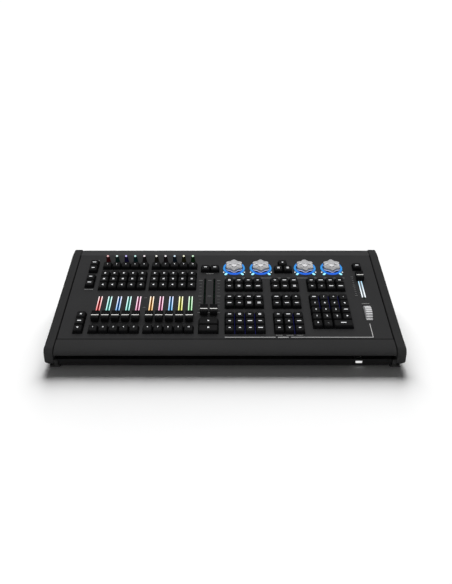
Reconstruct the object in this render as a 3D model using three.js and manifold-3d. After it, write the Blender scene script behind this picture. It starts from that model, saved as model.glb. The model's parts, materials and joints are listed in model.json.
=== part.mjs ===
// A stage lighting control desk with a low wedge-shaped housing.
// Playback faders, their keys and small rotary knobs are on the left, two master faders are beside
// them, and the programming keys, four large encoder wheels and a keypad are on the right.
//
// Millimetres. X runs across the desk, Y from the front edge to the back, and Z is up from the table.
// The housing is laid out in a profile frame whose Y is 0 at the palm rest's front face. The sloping
// deck has its own frame: x across, y up the slope from the bend, z out of the deck's top face.
import * as THREE from 'three';
import { mergeVertices } from 'three/addons/utils/BufferGeometryUtils.js';
import Module from 'manifold-3d';

const wasm = await Module();
wasm.setup();

// ---- Driving dimensions ----
const DESK_WIDTH = 652;
const DESK_DEPTH = 317;
const GAP = 0.3; // clearance between neighbouring pieces
const SHEET = 2; // deck and rear panel thickness

const CHEEK_THICKNESS = 16.7;
const HALF_WIDTH = DESK_WIDTH / 2;
const CHEEK_INNER_X = HALF_WIDTH - CHEEK_THICKNESS;
const DECK_HALF_WIDTH = CHEEK_INNER_X - GAP;

const SLOPE = THREE.MathUtils.degToRad(11);
const BEND_Y = 39; // where the palm rest turns into the sloping deck
const BEND_Z = 39.5;
const DECK_START = -5; // seam with the palm rest, along the slope
const DECK_LENGTH = 256; // from the bend to the flat strip at the back
const STRIP_LENGTH = 25;
const DECK_TOP_Z = BEND_Z + DECK_LENGTH * Math.sin(SLOPE);

const TRAY_BOTTOM_Z = 3;
const TRAY_FRONT_Y = 4.5;
const TRAY_BACK_Y = 312.5;
const TRAY_SHEET = 1.5;
const TRAY_FLOOR_Z = TRAY_BOTTOM_Z + TRAY_SHEET; // upper face of the tray's floor
const TRAY_FRONT_TOP_Z = 14;
const TRAY_SIDE_TOP_Z = 21;
const REAR_PANEL_Y = TRAY_BACK_Y + GAP; // inner face of the rear panel
const REAR_FACE_Y = REAR_PANEL_Y + SHEET;
const FLANGE_Y = REAR_FACE_Y + GAP; // where socket flanges start, outside the rear panel

const KEY_PITCH = 19.05;
const KEY_SIZE = 18.3;
const KEY_TOP_SIZE = 14.8;
const KEY_SKIRT = 1.5; // straight part of a keycap above the deck
const KEY_HEIGHT = 8;
const KEY_HOLE_MARGIN = 0.5;
const MAT_TOP = -3.7; // silicone mat that carries the keycaps, below the deck
const MAT_THICKNESS = 1.5;
const MAT_MARGIN = 1.5;

const BOARD_TOP = -9;
const BOARD_THICKNESS = 1.6;

// Centre x of each block of controls, and y of the front row of each block of keys.
const PLAYBACK_LEFT_X = -207.35;
const PLAYBACK_RIGHT_X = -105.8;
const MASTER_X = -31.2;
const LEFT_COLUMN_X = -273.4;
const RIGHT_COLUMN_X = 273.9;
const ENCODER_CENTRE_X = 119.85;
const KEYS_LEFT_X = 37.1;
const KEYS_MIDDLE_X = 119.6;
const KEYS_RIGHT_X = 202.4;
const PAGE_ROW_Y = 18.4;
const BANK_ROW_Y = 153.8;
const VIEW_ROW_Y = 202.6;
const FLASH_ROW_Y = 18.2;
const CUE_ROW_Y = 145.8;
const SELECT_ROW_Y = 214.6;
const MASTER_TOP_ROW_Y = 204.6;
const MASTER_BOTTOM_ROW_Y = 18;
const ENCODER_ROW_Y = 202;
const MENU_ROW_Y = 141.6;
const EDIT_ROW_Y = 89.2;
const PALETTE_ROW_Y = 17.6;
const KEYPAD_ROW_Y = 31.6;
const SHIFT_ROW_Y = 211;

// Front end of each fader's travel.
const PLAYBACK_FADER_Y = 50.5;
const MASTER_FADER_Y = 68.8;
const CROSSFADER_Y = 114.5;
const MASTER_FADER_OFFSET = 9.3; // each master fader's distance from the block's centre

const CAP_WIDTH = 14.6;
const CAP_LENGTH = 23;
const CAP_BOTTOM = 2.5;
const CAP_TOP = 13;
const SHORT_TRAVEL = 60;
const LONG_TRAVEL = 100;
const STEM_WIDTH = 1.2;
const STEM_LENGTH = 8;
const STEM_BOTTOM = -7.8;
const SLOT_WIDTH = 2.6;
const SLOT_END = 6; // how far a slot runs past the stem's centre at each end of its travel

const ENCODER_Y = 210;
const ENCODER_RADIUS = 19; // to the tip of a lobe
const ENCODER_LOBES = 6;
const ENCODER_LOBE_DEPTH = 3.4;
const ENCODER_BOTTOM = 2.5;
const ENCODER_TOP = 10;
const RING_INNER_RADIUS = 19;
const RING_OUTER_RADIUS = 22.2;
const RING_HEIGHT = 1.6;
const SHAFT_RADIUS = 3;
const SHAFT_HOLE_RADIUS = 3.6;
const SHAFT_BOTTOM = -8.5;

const KNOB_Y = 229.5;
const KNOB_SKIRT_RADIUS = 5.2;
const KNOB_TOP_RADIUS = 3.6;
const KNOB_HEIGHT = 18.5;

const WHEEL_Y = 68.5;
const WHEEL_RADIUS = 26;
const WHEEL_WIDTH = 12.5;
const WHEEL_DEPTH = -17; // axle centre below the deck's top face
const WHEEL_SLOT_HALF_LENGTH = 22;
const WHEEL_RIBS = 30;
const AXLE_RADIUS = 2;

// ---- Materials ----
function finish(color, roughness, metalness) {
  return new THREE.MeshStandardMaterial({ color, roughness, metalness });
}

const deckPaint = finish(0x3c3c3d, 0.55, 0.3);
const trayPaint = finish(0x151515, 0.6, 0.3);
const cheekPlastic = finish(0x303031, 0.75, 0);
const footRubber = finish(0x1c1c1c, 0.9, 0);
const keyPlastic = finish(0x18181a, 0.5, 0);
const capPlastic = finish(0x0e0e0f, 0.45, 0);
const knobPlastic = finish(0x141416, 0.4, 0);
const wheelSilver = finish(0xb9bcc0, 0.3, 0.8);
const boardGreen = finish(0x16402a, 0.6, 0);
const casingSteel = finish(0xa2a4a6, 0.4, 0.8);
const socketPlastic = finish(0x101010, 0.5, 0);
const socketMetal = finish(0x8d8f92, 0.35, 0.9);

// ---- Solids ----
function solid(geometry) {
  geometry.deleteAttribute('normal');
  geometry.deleteAttribute('uv');
  const merged = mergeVertices(geometry, 1e-4);
  const mesh = new wasm.Mesh({
    numProp: 3,
    vertProperties: new Float32Array(merged.attributes.position.array),
    triVerts: new Uint32Array(merged.index.array),
  });
  return new wasm.Manifold(mesh);
}

function geometryOf(body) {
  const mesh = body.getMesh();
  const geometry = new THREE.BufferGeometry();
  geometry.setAttribute('position', new THREE.BufferAttribute(new Float32Array(mesh.vertProperties), 3));
  geometry.setIndex(new THREE.BufferAttribute(new Uint32Array(mesh.triVerts), 1));
  geometry.computeVertexNormals();
  return geometry;
}

function join(bodies) {
  return bodies.reduce((whole, body) => whole.add(body));
}

function cut(body, cutters) {
  return cutters.reduce((whole, cutter) => whole.subtract(cutter), body);
}

function boxBetween([x0, y0, z0], [x1, y1, z1]) {
  const geometry = new THREE.BoxGeometry(x1 - x0, y1 - y0, z1 - z0);
  geometry.translate((x0 + x1) / 2, (y0 + y1) / 2, (z0 + z1) / 2);
  return solid(geometry);
}

// A block centred on x and z, from y0 to y1.
function slab(x, z, width, height, y0, y1) {
  return boxBetween([x - width / 2, y0, z - height / 2], [x + width / 2, y1, z + height / 2]);
}

// A shape drawn in (y, z) and extruded along x from x0 to x1.
function extrudeAcross(shape, x0, x1, bevel = 0, bevelSegments = 2) {
  const geometry = new THREE.ExtrudeGeometry(shape, {
    depth: x1 - x0 - 2 * bevel,
    bevelEnabled: bevel > 0,
    bevelThickness: bevel,
    bevelSize: bevel,
    bevelOffset: -bevel,
    bevelSegments,
    curveSegments: 4,
  });
  geometry.translate(0, 0, x0 + bevel);
  const across = new THREE.Matrix4().makeBasis(
    new THREE.Vector3(0, 1, 0),
    new THREE.Vector3(0, 0, 1),
    new THREE.Vector3(1, 0, 0),
  );
  geometry.applyMatrix4(across);
  return solid(geometry);
}

function outline(points) {
  return new THREE.Shape(points.map(([a, b]) => new THREE.Vector2(a, b)));
}

// A round pin or bore along z.
function post(x, y, radius, z0, z1, segments = 12) {
  const geometry = new THREE.CylinderGeometry(radius, radius, z1 - z0, segments);
  geometry.rotateX(Math.PI / 2);
  geometry.translate(x, y, (z0 + z1) / 2);
  return solid(geometry);
}

// A round pin or bore along y, as the sockets in the rear panel have.
function rearPost(x, z, radius, y0, y1, segments = 20) {
  const geometry = new THREE.CylinderGeometry(radius, radius, y1 - y0, segments);
  geometry.translate(x, (y0 + y1) / 2, z);
  return solid(geometry);
}

// A round pin or bore along x.
function crossPost(y, z, radius, x0, x1, segments = 12) {
  const geometry = new THREE.CylinderGeometry(radius, radius, x1 - x0, segments);
  geometry.rotateZ(Math.PI / 2);
  geometry.translate((x0 + x1) / 2, y, z);
  return solid(geometry);
}

// A solid turned about z from a closed (radius, z) profile that starts and ends on the axis.
function turned(points, segments) {
  const profile = points.map(([r, z]) => new THREE.Vector2(r, z));
  const geometry = new THREE.LatheGeometry(profile, segments);
  geometry.rotateX(Math.PI / 2);
  return solid(geometry);
}

// ---- Scene graph ----
const desk = new THREE.Group();
desk.position.y = -DESK_DEPTH / 2;

const deck = new THREE.Group();
deck.position.set(0, BEND_Y, BEND_Z);
deck.rotation.x = SLOPE;
desk.add(deck);

function addPiece(name, body, material, parent) {
  const mesh = new THREE.Mesh(geometryOf(body), material);
  mesh.name = name;
  parent.add(mesh);
  return mesh;
}

// A point of the deck frame, in the profile frame's (y, z).
function deckPoint(along, out) {
  const y = BEND_Y + along * Math.cos(SLOPE) - out * Math.sin(SLOPE);
  const z = BEND_Z + along * Math.sin(SLOPE) + out * Math.cos(SLOPE);
  return [y, z];
}

// ---- Control layout ----
function keyBlock(centreX, frontY, columns, rows) {
  const keys = [];
  for (let row = 0; row < rows; row += 1) {
    for (let column = 0; column < columns; column += 1) {
      const x = centreX + (column - (columns - 1) / 2) * KEY_PITCH;
      keys.push({ x, y: frontY + row * KEY_PITCH, width: KEY_SIZE });
    }
  }
  return keys;
}

function wideKey(x, y) {
  return { x, y, width: KEY_SIZE + KEY_PITCH };
}

// The keypad's front row is two plain keys and one double-width key.
function keypadBlock(centreX, frontY) {
  const frontRow = keyBlock(centreX - KEY_PITCH, frontY, 2, 1);
  frontRow.push(wideKey(centreX + KEY_PITCH, frontY));
  return frontRow.concat(keyBlock(centreX, frontY + KEY_PITCH, 4, 4));
}

// Each bank is one moulded mat. A block is one opening in the deck. A short mat leaves room for the
// knobs behind it.
const KEY_BANKS = [
  {
    name: 'page_keys',
    blocks: [
      keyBlock(LEFT_COLUMN_X, PAGE_ROW_Y, 1, 3),
      keyBlock(LEFT_COLUMN_X, BANK_ROW_Y, 1, 2),
      keyBlock(LEFT_COLUMN_X, VIEW_ROW_Y, 1, 2),
    ],
  },
  { name: 'flash_keys_left', blocks: [keyBlock(PLAYBACK_LEFT_X, FLASH_ROW_Y, 5, 1)] },
  { name: 'flash_keys_right', blocks: [keyBlock(PLAYBACK_RIGHT_X, FLASH_ROW_Y, 5, 1)] },
  {
    name: 'playback_keys_left',
    shortMat: true,
    blocks: [
      keyBlock(PLAYBACK_LEFT_X, CUE_ROW_Y, 5, 3),
      keyBlock(PLAYBACK_LEFT_X, SELECT_ROW_Y, 5, 1),
    ],
  },
  {
    name: 'playback_keys_right',
    shortMat: true,
    blocks: [
      keyBlock(PLAYBACK_RIGHT_X, CUE_ROW_Y, 5, 3),
      keyBlock(PLAYBACK_RIGHT_X, SELECT_ROW_Y, 5, 1),
    ],
  },
  { name: 'master_keys_top', blocks: [keyBlock(MASTER_X, MASTER_TOP_ROW_Y, 2, 1)] },
  {
    name: 'master_keys_bottom',
    blocks: [[wideKey(MASTER_X, MASTER_BOTTOM_ROW_Y), wideKey(MASTER_X, MASTER_BOTTOM_ROW_Y + KEY_PITCH)]],
  },
  {
    name: 'encoder_keys',
    blocks: [
      keyBlock(ENCODER_CENTRE_X, ENCODER_ROW_Y, 2, 1),
      keyBlock(ENCODER_CENTRE_X, ENCODER_ROW_Y + KEY_PITCH, 1, 1),
    ],
  },
  {
    name: 'programmer_keys_left',
    blocks: [
      keyBlock(KEYS_LEFT_X, PALETTE_ROW_Y, 4, 3),
      keyBlock(KEYS_LEFT_X, EDIT_ROW_Y, 4, 2),
      keyBlock(KEYS_LEFT_X, MENU_ROW_Y, 4, 2),
    ],
  },
  {
    name: 'programmer_keys_middle',
    blocks: [
      keyBlock(KEYS_MIDDLE_X, PALETTE_ROW_Y, 3, 3),
      keyBlock(KEYS_MIDDLE_X, EDIT_ROW_Y, 3, 2),
      keyBlock(KEYS_MIDDLE_X, MENU_ROW_Y, 3, 2),
    ],
  },
  {
    name: 'programmer_keys_right',
    blocks: [keypadBlock(KEYS_RIGHT_X, KEYPAD_ROW_Y), keyBlock(KEYS_RIGHT_X, MENU_ROW_Y, 4, 2)],
  },
  { name: 'shift_key', blocks: [keyBlock(RIGHT_COLUMN_X, SHIFT_ROW_Y, 1, 1)] },
];

function playbackColumns(centreX) {
  return [-2, -1, 0, 1, 2].map((step) => centreX + step * KEY_PITCH);
}

const PLAYBACK_COLUMNS = [...playbackColumns(PLAYBACK_LEFT_X), ...playbackColumns(PLAYBACK_RIGHT_X)];

// A fader's y is the front end of its travel. rest is how far up the slope its cap is at rest.
const FADERS = PLAYBACK_COLUMNS.map((x, index) => ({
  name: `playback_fader_${index + 1}`,
  x,
  y: PLAYBACK_FADER_Y,
  travel: SHORT_TRAVEL,
  rest: 0,
}));
for (const side of [-1, 1]) {
  FADERS.push({
    name: side < 0 ? 'master_fader_left' : 'master_fader_right',
    x: MASTER_X + side * MASTER_FADER_OFFSET,
    y: MASTER_FADER_Y,
    travel: LONG_TRAVEL,
    rest: 0,
  });
}
FADERS.push({
  name: 'crossfader',
  x: RIGHT_COLUMN_X,
  y: CROSSFADER_Y,
  travel: SHORT_TRAVEL,
  rest: SHORT_TRAVEL,
});

const ENCODER_COLUMNS = [-101.4, -46, 46, 101.4].map((offset) => ENCODER_CENTRE_X + offset);

function blockBounds(keys) {
  return {
    x0: Math.min(...keys.map((key) => key.x - key.width / 2)),
    x1: Math.max(...keys.map((key) => key.x + key.width / 2)),
    y0: Math.min(...keys.map((key) => key.y)) - KEY_SIZE / 2,
    y1: Math.max(...keys.map((key) => key.y)) + KEY_SIZE / 2,
  };
}

// ---- Housing ----
// The cheek follows the deck and stands a little proud of it.
function cheekOutline() {
  const proud = 2.4;
  const frontRadius = 12;
  const backRadius = 8;
  const chamfer = 6;
  const frontTopZ = 37.6;
  const topZ = DECK_TOP_Z + proud;
  const shape = new THREE.Shape();
  shape.moveTo(chamfer, TRAY_BOTTOM_Z);
  shape.lineTo(DESK_DEPTH - chamfer, TRAY_BOTTOM_Z);
  shape.lineTo(DESK_DEPTH, TRAY_BOTTOM_Z + chamfer);
  shape.lineTo(DESK_DEPTH, topZ - backRadius);
  shape.absarc(DESK_DEPTH - backRadius, topZ - backRadius, backRadius, 0, Math.PI / 2, false);
  shape.lineTo(deckPoint(DECK_LENGTH, 0)[0], topZ);
  shape.lineTo(...deckPoint(0, proud));
  shape.lineTo(frontRadius, frontTopZ);
  shape.absarc(frontRadius, frontTopZ - frontRadius, frontRadius, Math.PI / 2, Math.PI, false);
  shape.lineTo(0, TRAY_BOTTOM_Z + chamfer);
  shape.closePath();
  return shape;
}

function cheek(side) {
  const bevel = 4;
  const underside = 8; // width of the chamfer along the outer bottom edge
  const undersideHeight = 9;
  const length = DESK_DEPTH + 2;
  const full = extrudeAcross(cheekOutline(), CHEEK_INNER_X - bevel, HALF_WIDTH, bevel, 3);
  const inner = boxBetween([CHEEK_INNER_X - 2 * bevel, -1, 0], [CHEEK_INNER_X, DESK_DEPTH + 1, 120]);
  const wedgeShape = outline([
    [HALF_WIDTH - underside, TRAY_BOTTOM_Z - 0.1],
    [HALF_WIDTH + 1, TRAY_BOTTOM_Z - 0.1],
    [HALF_WIDTH + 1, TRAY_BOTTOM_Z + undersideHeight],
  ]);
  const wedgeGeometry = new THREE.ExtrudeGeometry(wedgeShape, { depth: length, bevelEnabled: false });
  wedgeGeometry.rotateX(Math.PI / 2);
  wedgeGeometry.translate(0, DESK_DEPTH + 1, 0);
  const body = cut(full, [inner, solid(wedgeGeometry)]);
  return side > 0 ? body : body.mirror([1, 0, 0]);
}

// The palm rest is a C-shaped section. Its top curves down to the front as a quarter of an ellipse.
function palmRest() {
  const skin = 3;
  const lipZ = 21.5;
  const lipDepth = 13;
  const backY = deckPoint(DECK_START, 0)[0] - GAP;
  const backZ = 38.5;
  const noseZ = lipZ + skin;
  const shape = new THREE.Shape();
  shape.moveTo(0, lipZ);
  shape.lineTo(lipDepth, lipZ);
  shape.lineTo(lipDepth, noseZ);
  shape.absellipse(backY, noseZ, backY - skin, backZ - noseZ - skin, Math.PI, Math.PI / 2, true);
  shape.lineTo(backY, backZ);
  shape.absellipse(backY, noseZ, backY, backZ - noseZ, Math.PI / 2, Math.PI, false);
  shape.closePath();
  return extrudeAcross(shape, -DECK_HALF_WIDTH, DECK_HALF_WIDTH);
}

// The USB socket in the tray's front wall.
const USB_X = 242.5;
const USB_Z = 7.8;
const USB_SHELL = { width: 13.2, height: 5.8, depth: 14.5, back: 2 };
const USB_CAVITY = { width: 12.2, height: 4.8 };
const USB_TONGUE = { width: 11.2, bottom: -0.6, top: 1.8, recess: 0.8 };

function trayShell() {
  const outer = boxBetween(
    [-DECK_HALF_WIDTH, TRAY_FRONT_Y, TRAY_BOTTOM_Z],
    [DECK_HALF_WIDTH, TRAY_BACK_Y, TRAY_SIDE_TOP_Z],
  );
  const inner = boxBetween(
    [-DECK_HALF_WIDTH + TRAY_SHEET, TRAY_FRONT_Y + TRAY_SHEET, TRAY_BOTTOM_Z + TRAY_SHEET],
    [DECK_HALF_WIDTH - TRAY_SHEET, TRAY_BACK_Y - TRAY_SHEET, TRAY_SIDE_TOP_Z + 1],
  );
  const frontRelief = boxBetween(
    [-HALF_WIDTH, 0, TRAY_FRONT_TOP_Z],
    [HALF_WIDTH, TRAY_FRONT_Y + 12, TRAY_SIDE_TOP_Z + 1],
  );
  const usbHole = boxBetween(
    [USB_X - USB_SHELL.width / 2 - GAP, 0, USB_Z - USB_SHELL.height / 2 - GAP],
    [USB_X + USB_SHELL.width / 2 + GAP, TRAY_FRONT_Y + 3, USB_Z + USB_SHELL.height / 2 + GAP],
  );
  return cut(outer, [inner, frontRelief, usbHole]);
}

// A steel shell, open in front, round a flat tongue that is joined to its back.
function usbPort() {
  const backY = TRAY_FRONT_Y + USB_SHELL.depth;
  const cavityBackY = backY - USB_SHELL.back;
  const halfCavity = USB_CAVITY.height / 2;
  const shell = slab(USB_X, USB_Z, USB_SHELL.width, USB_SHELL.height, TRAY_FRONT_Y, backY);
  const cavity = boxBetween(
    [USB_X - USB_CAVITY.width / 2, TRAY_FRONT_Y - 1, USB_Z - halfCavity],
    [USB_X + USB_CAVITY.width / 2, cavityBackY, USB_Z + halfCavity],
  );
  const tongue = boxBetween(
    [USB_X - USB_TONGUE.width / 2, TRAY_FRONT_Y + USB_TONGUE.recess, USB_Z + USB_TONGUE.bottom],
    [USB_X + USB_TONGUE.width / 2, cavityBackY + USB_SHELL.back / 2, USB_Z + USB_TONGUE.top],
  );
  return cut(shell, [cavity]).add(tongue);
}

// Each front foot has a riser in front of the tray. Each rear foot is a plain pad.
const FOOT_INNER_X = 299;
const FOOT_OUTER_X = 317.5;
const FOOT_TOP_Z = TRAY_BOTTOM_Z - GAP;
const FRONT_FOOT_Y = [GAP, 38];
const REAR_FOOT_Y = [274, 311];
const RISER_INNER_X = 302;

function foot(side, [y0, y1], hasRiser) {
  const pad = boxBetween([FOOT_INNER_X, y0, 0], [FOOT_OUTER_X, y1, FOOT_TOP_Z]);
  const riser = boxBetween(
    [RISER_INNER_X, y0, 0],
    [DECK_HALF_WIDTH, TRAY_FRONT_Y - GAP, TRAY_FRONT_TOP_Z + GAP],
  );
  const body = hasRiser ? pad.add(riser) : pad;
  return side > 0 ? body : body.mirror([1, 0, 0]);
}

// ---- Rear panel and its sockets ----
const INLET_X = -258;
const INLET_Z = 46;
const INLET_BODY = { width: 28, height: 47, depth: 24 };
const INLET_FLANGE = { width: 34, height: 54, thickness: 1.5 };
const INLET_CAVITY = { width: 24.6, height: 17, depth: 17, offset: -11 };
const INLET_BLADE = { width: 2, height: 4, earthOffset: 4, sideOffset: 7, lowOffset: -2 };
const ROCKER_OFFSET = 13;
const ROCKER_RADIUS = 8;
const ROCKER_WIDTH = 20;
const ROCKER_PIVOT_Y = 312;
const DMX_COLUMNS = [-176, -138];
const DMX_Z = 46;
const DMX_BODY_RADIUS = 11.7;
const DMX_FLANGE = { width: 26, height: 31, thickness: 1.6 };
const DMX_BORE = { radius: 9.6, depth: 14 }; // the plug's shell goes round the insert, into the bore
const DMX_INSERT = { radius: 7.4, recess: 0.6 };
const NETWORK_X = -84;
const NETWORK_Z = 46;
const NETWORK_BODY = { width: 16, height: 14, depth: 21 };
const NETWORK_CAVITY = { width: 11.8, height: 8.2, depth: 14 };
const VENT_COUNT = 14;
const VENT_PITCH = 9;
const VENT_X = 150;
const VENT_Z = 46;
const VENT_SIZE = { width: 3.5, height: 28 };

function rearPanel() {
  const plate = boxBetween(
    [-DECK_HALF_WIDTH, REAR_PANEL_Y, TRAY_BOTTOM_Z],
    [DECK_HALF_WIDTH, REAR_FACE_Y, DECK_TOP_Z - SHEET - GAP],
  );
  const y0 = REAR_PANEL_Y - 1;
  const y1 = REAR_FACE_Y + 1;
  const holes = [
    slab(INLET_X, INLET_Z, INLET_BODY.width + 2 * GAP, INLET_BODY.height + 2 * GAP, y0, y1),
    slab(NETWORK_X, NETWORK_Z, NETWORK_BODY.width + 2 * GAP, NETWORK_BODY.height + 2 * GAP, y0, y1),
  ];
  for (const x of DMX_COLUMNS) {
    holes.push(rearPost(x, DMX_Z, DMX_BODY_RADIUS + GAP, y0, y1));
  }
  for (let index = 0; index < VENT_COUNT; index += 1) {
    const x = VENT_X + (index - (VENT_COUNT - 1) / 2) * VENT_PITCH;
    holes.push(slab(x, VENT_Z, VENT_SIZE.width, VENT_SIZE.height, y0, y1));
  }
  return cut(plate, holes);
}

// A mains inlet with three blades, and a recess above it for the rocker switch.
function powerInlet() {
  const { width, height, depth } = INLET_BODY;
  const flangeBack = FLANGE_Y + INLET_FLANGE.thickness;
  const body = slab(INLET_X, INLET_Z, width, height, flangeBack - depth, flangeBack);
  const flange = slab(INLET_X, INLET_Z, INLET_FLANGE.width, INLET_FLANGE.height, FLANGE_Y, flangeBack);
  const cavityZ = INLET_Z + INLET_CAVITY.offset;
  const cavity = slab(
    INLET_X,
    cavityZ,
    INLET_CAVITY.width,
    INLET_CAVITY.height,
    flangeBack - INLET_CAVITY.depth,
    flangeBack + 1,
  );
  const recess = crossPost(
    ROCKER_PIVOT_Y,
    INLET_Z + ROCKER_OFFSET,
    ROCKER_RADIUS + 0.4,
    INLET_X - ROCKER_WIDTH / 2 - 0.4,
    INLET_X + ROCKER_WIDTH / 2 + 0.4,
    24,
  );
  const bladeBack = flangeBack - INLET_CAVITY.depth - 1;
  const blade = (x, z, front) => slab(x, z, INLET_BLADE.width, INLET_BLADE.height, bladeBack, front);
  const lowZ = cavityZ + INLET_BLADE.lowOffset;
  const blades = [
    blade(INLET_X, cavityZ + INLET_BLADE.earthOffset, flangeBack - 2),
    blade(INLET_X - INLET_BLADE.sideOffset, lowZ, flangeBack - 3),
    blade(INLET_X + INLET_BLADE.sideOffset, lowZ, flangeBack - 3),
  ];
  return join([cut(join([body, flange]), [cavity, recess]), ...blades]);
}

// The rocker is a shallow V inside a circle about its pivot, tilted to its off position.
const ROCKER_REST_TILT = THREE.MathUtils.degToRad(8);
const ROCKER_FACE = { half: 7, ends: 3.8, middle: 2.4, lip: 0.4 };
const ROCKER_BACK = { half: 5, depth: 5 };

function rocker() {
  const { half, ends, middle, lip } = ROCKER_FACE;
  const shape = outline([
    [ends, -half],
    [ends, -half + lip],
    [middle, 0],
    [ends, half],
    [-ROCKER_BACK.depth, ROCKER_BACK.half],
    [-ROCKER_BACK.depth, -ROCKER_BACK.half],
  ]);
  return extrudeAcross(shape, -ROCKER_WIDTH / 2, ROCKER_WIDTH / 2);
}

// A five-pole socket: a round body behind a square flange, with a plug groove round its insert.
function dmxSocket(x) {
  const flangeBack = FLANGE_Y + DMX_FLANGE.thickness;
  const barrel = rearPost(x, DMX_Z, DMX_BODY_RADIUS, REAR_PANEL_Y - 22, flangeBack);
  const flange = slab(x, DMX_Z, DMX_FLANGE.width, DMX_FLANGE.height, FLANGE_Y, flangeBack);
  const boreEnd = flangeBack - DMX_BORE.depth;
  const bore = rearPost(x, DMX_Z, DMX_BORE.radius, boreEnd, flangeBack + 1);
  const insert = rearPost(x, DMX_Z, DMX_INSERT.radius, boreEnd - 1, flangeBack - DMX_INSERT.recess);
  return cut(join([barrel, flange]), [bore]).add(insert);
}

function networkSocket() {
  const { width, height, depth } = NETWORK_BODY;
  const faceY = REAR_FACE_Y + 0.6;
  const body = slab(NETWORK_X, NETWORK_Z, width, height, faceY - depth, faceY);
  const cavity = slab(
    NETWORK_X,
    NETWORK_Z - 1,
    NETWORK_CAVITY.width,
    NETWORK_CAVITY.height,
    faceY - NETWORK_CAVITY.depth,
    faceY + 1,
  );
  return cut(body, [cavity]);
}

// ---- Deck ----
function topPanel() {
  const foldX = DECK_LENGTH;
  const stripX = foldX + STRIP_LENGTH * Math.cos(SLOPE);
  const stripZ = -STRIP_LENGTH * Math.sin(SLOPE);
  const underFold = foldX - SHEET * Math.tan(SLOPE / 2);
  const profile = outline([
    [DECK_START, -SHEET],
    [underFold, -SHEET],
    [stripX - SHEET * Math.sin(SLOPE), stripZ - SHEET * Math.cos(SLOPE)],
    [stripX, stripZ],
    [foldX, 0],
    [DECK_START, 0],
  ]);
  const plate = extrudeAcross(profile, -DECK_HALF_WIDTH, DECK_HALF_WIDTH);
  const rings = ENCODER_COLUMNS.map((x) =>
    cut(post(x, ENCODER_Y, RING_OUTER_RADIUS, -0.5, RING_HEIGHT, 24), [
      post(x, ENCODER_Y, RING_INNER_RADIUS, -1, RING_HEIGHT + 1, 24),
    ]),
  );
  const ears = [-1, 1].map((side) => {
    const inner = WHEEL_WIDTH / 2 + 2;
    const x0 = RIGHT_COLUMN_X + (side > 0 ? inner : -inner - 2);
    return boxBetween([x0, WHEEL_Y - 5, WHEEL_DEPTH - 5], [x0 + 2, WHEEL_Y + 5, -SHEET + 0.1]);
  });
  return cut(join([plate, ...rings, ...ears]), deckCutters());
}

function deckCutters() {
  const bottom = -SHEET - 1;
  const top = RING_HEIGHT + 1;
  const cutters = [];
  for (const bank of KEY_BANKS) {
    for (const keys of bank.blocks) {
      const { x0, x1, y0, y1 } = blockBounds(keys);
      const m = KEY_HOLE_MARGIN;
      cutters.push(boxBetween([x0 - m, y0 - m, bottom], [x1 + m, y1 + m, top]));
    }
  }
  for (const fader of FADERS) {
    const y0 = fader.y - SLOT_END;
    const y1 = fader.y + fader.travel + SLOT_END;
    cutters.push(boxBetween([fader.x - SLOT_WIDTH / 2, y0, bottom], [fader.x + SLOT_WIDTH / 2, y1, top]));
  }
  for (const x of ENCODER_COLUMNS) {
    cutters.push(post(x, ENCODER_Y, SHAFT_HOLE_RADIUS, bottom, top));
  }
  for (const x of PLAYBACK_COLUMNS) {
    cutters.push(post(x, KNOB_Y, SHAFT_HOLE_RADIUS, bottom, top));
  }
  const wheelHalf = WHEEL_WIDTH / 2 + 0.8;
  cutters.push(
    boxBetween(
      [RIGHT_COLUMN_X - wheelHalf, WHEEL_Y - WHEEL_SLOT_HALF_LENGTH, bottom],
      [RIGHT_COLUMN_X + wheelHalf, WHEEL_Y + WHEEL_SLOT_HALF_LENGTH, top],
    ),
  );
  const bearing = [RIGHT_COLUMN_X - WHEEL_WIDTH, RIGHT_COLUMN_X + WHEEL_WIDTH];
  cutters.push(crossPost(WHEEL_Y, WHEEL_DEPTH, AXLE_RADIUS + GAP, ...bearing));
  return cutters;
}

// ---- Controls ----
// A keycap: a straight skirt below, tapering to its top face.
function keycap({ x, y, width }) {
  const bottom = MAT_TOP - MAT_THICKNESS / 2;
  const geometry = new THREE.BoxGeometry(width, KEY_SIZE, 2, 1, 1, 2);
  const inset = KEY_SIZE - KEY_TOP_SIZE;
  const position = geometry.attributes.position;
  for (let index = 0; index < position.count; index += 1) {
    const level = Math.round(position.getZ(index)) + 1;
    position.setZ(index, [bottom, KEY_SKIRT, KEY_HEIGHT][level]);
    if (level === 2) {
      position.setX(index, position.getX(index) * (1 - inset / width));
      position.setY(index, position.getY(index) * (1 - inset / KEY_SIZE));
    }
  }
  geometry.translate(x, y, 0);
  return solid(geometry);
}

function keyBank(bank) {
  const bounds = blockBounds(bank.blocks.flat());
  const backMargin = bank.shortMat ? MAT_MARGIN / 3 : MAT_MARGIN;
  const mat = boxBetween(
    [bounds.x0 - MAT_MARGIN, bounds.y0 - MAT_MARGIN, MAT_TOP - MAT_THICKNESS],
    [bounds.x1 + MAT_MARGIN, bounds.y1 + backMargin, MAT_TOP],
  );
  return join([mat, ...bank.blocks.flat().map(keycap)]);
}

// A fader cap with a scooped top, on a flat stem that goes down through the slot.
function faderSlider() {
  const half = CAP_LENGTH / 2;
  const profile = outline([
    [-half, CAP_BOTTOM],
    [half, CAP_BOTTOM],
    [half - 1, CAP_TOP],
    [half * 0.45, CAP_TOP - 1.7],
    [0, CAP_TOP - 2.1],
    [-half * 0.45, CAP_TOP - 1.7],
    [-half + 1, CAP_TOP],
  ]);
  const cap = extrudeAcross(profile, -CAP_WIDTH / 2, CAP_WIDTH / 2);
  const stem = boxBetween(
    [-STEM_WIDTH / 2, -STEM_LENGTH / 2, STEM_BOTTOM],
    [STEM_WIDTH / 2, STEM_LENGTH / 2, CAP_BOTTOM + 1],
  );
  return cap.add(stem);
}

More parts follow.
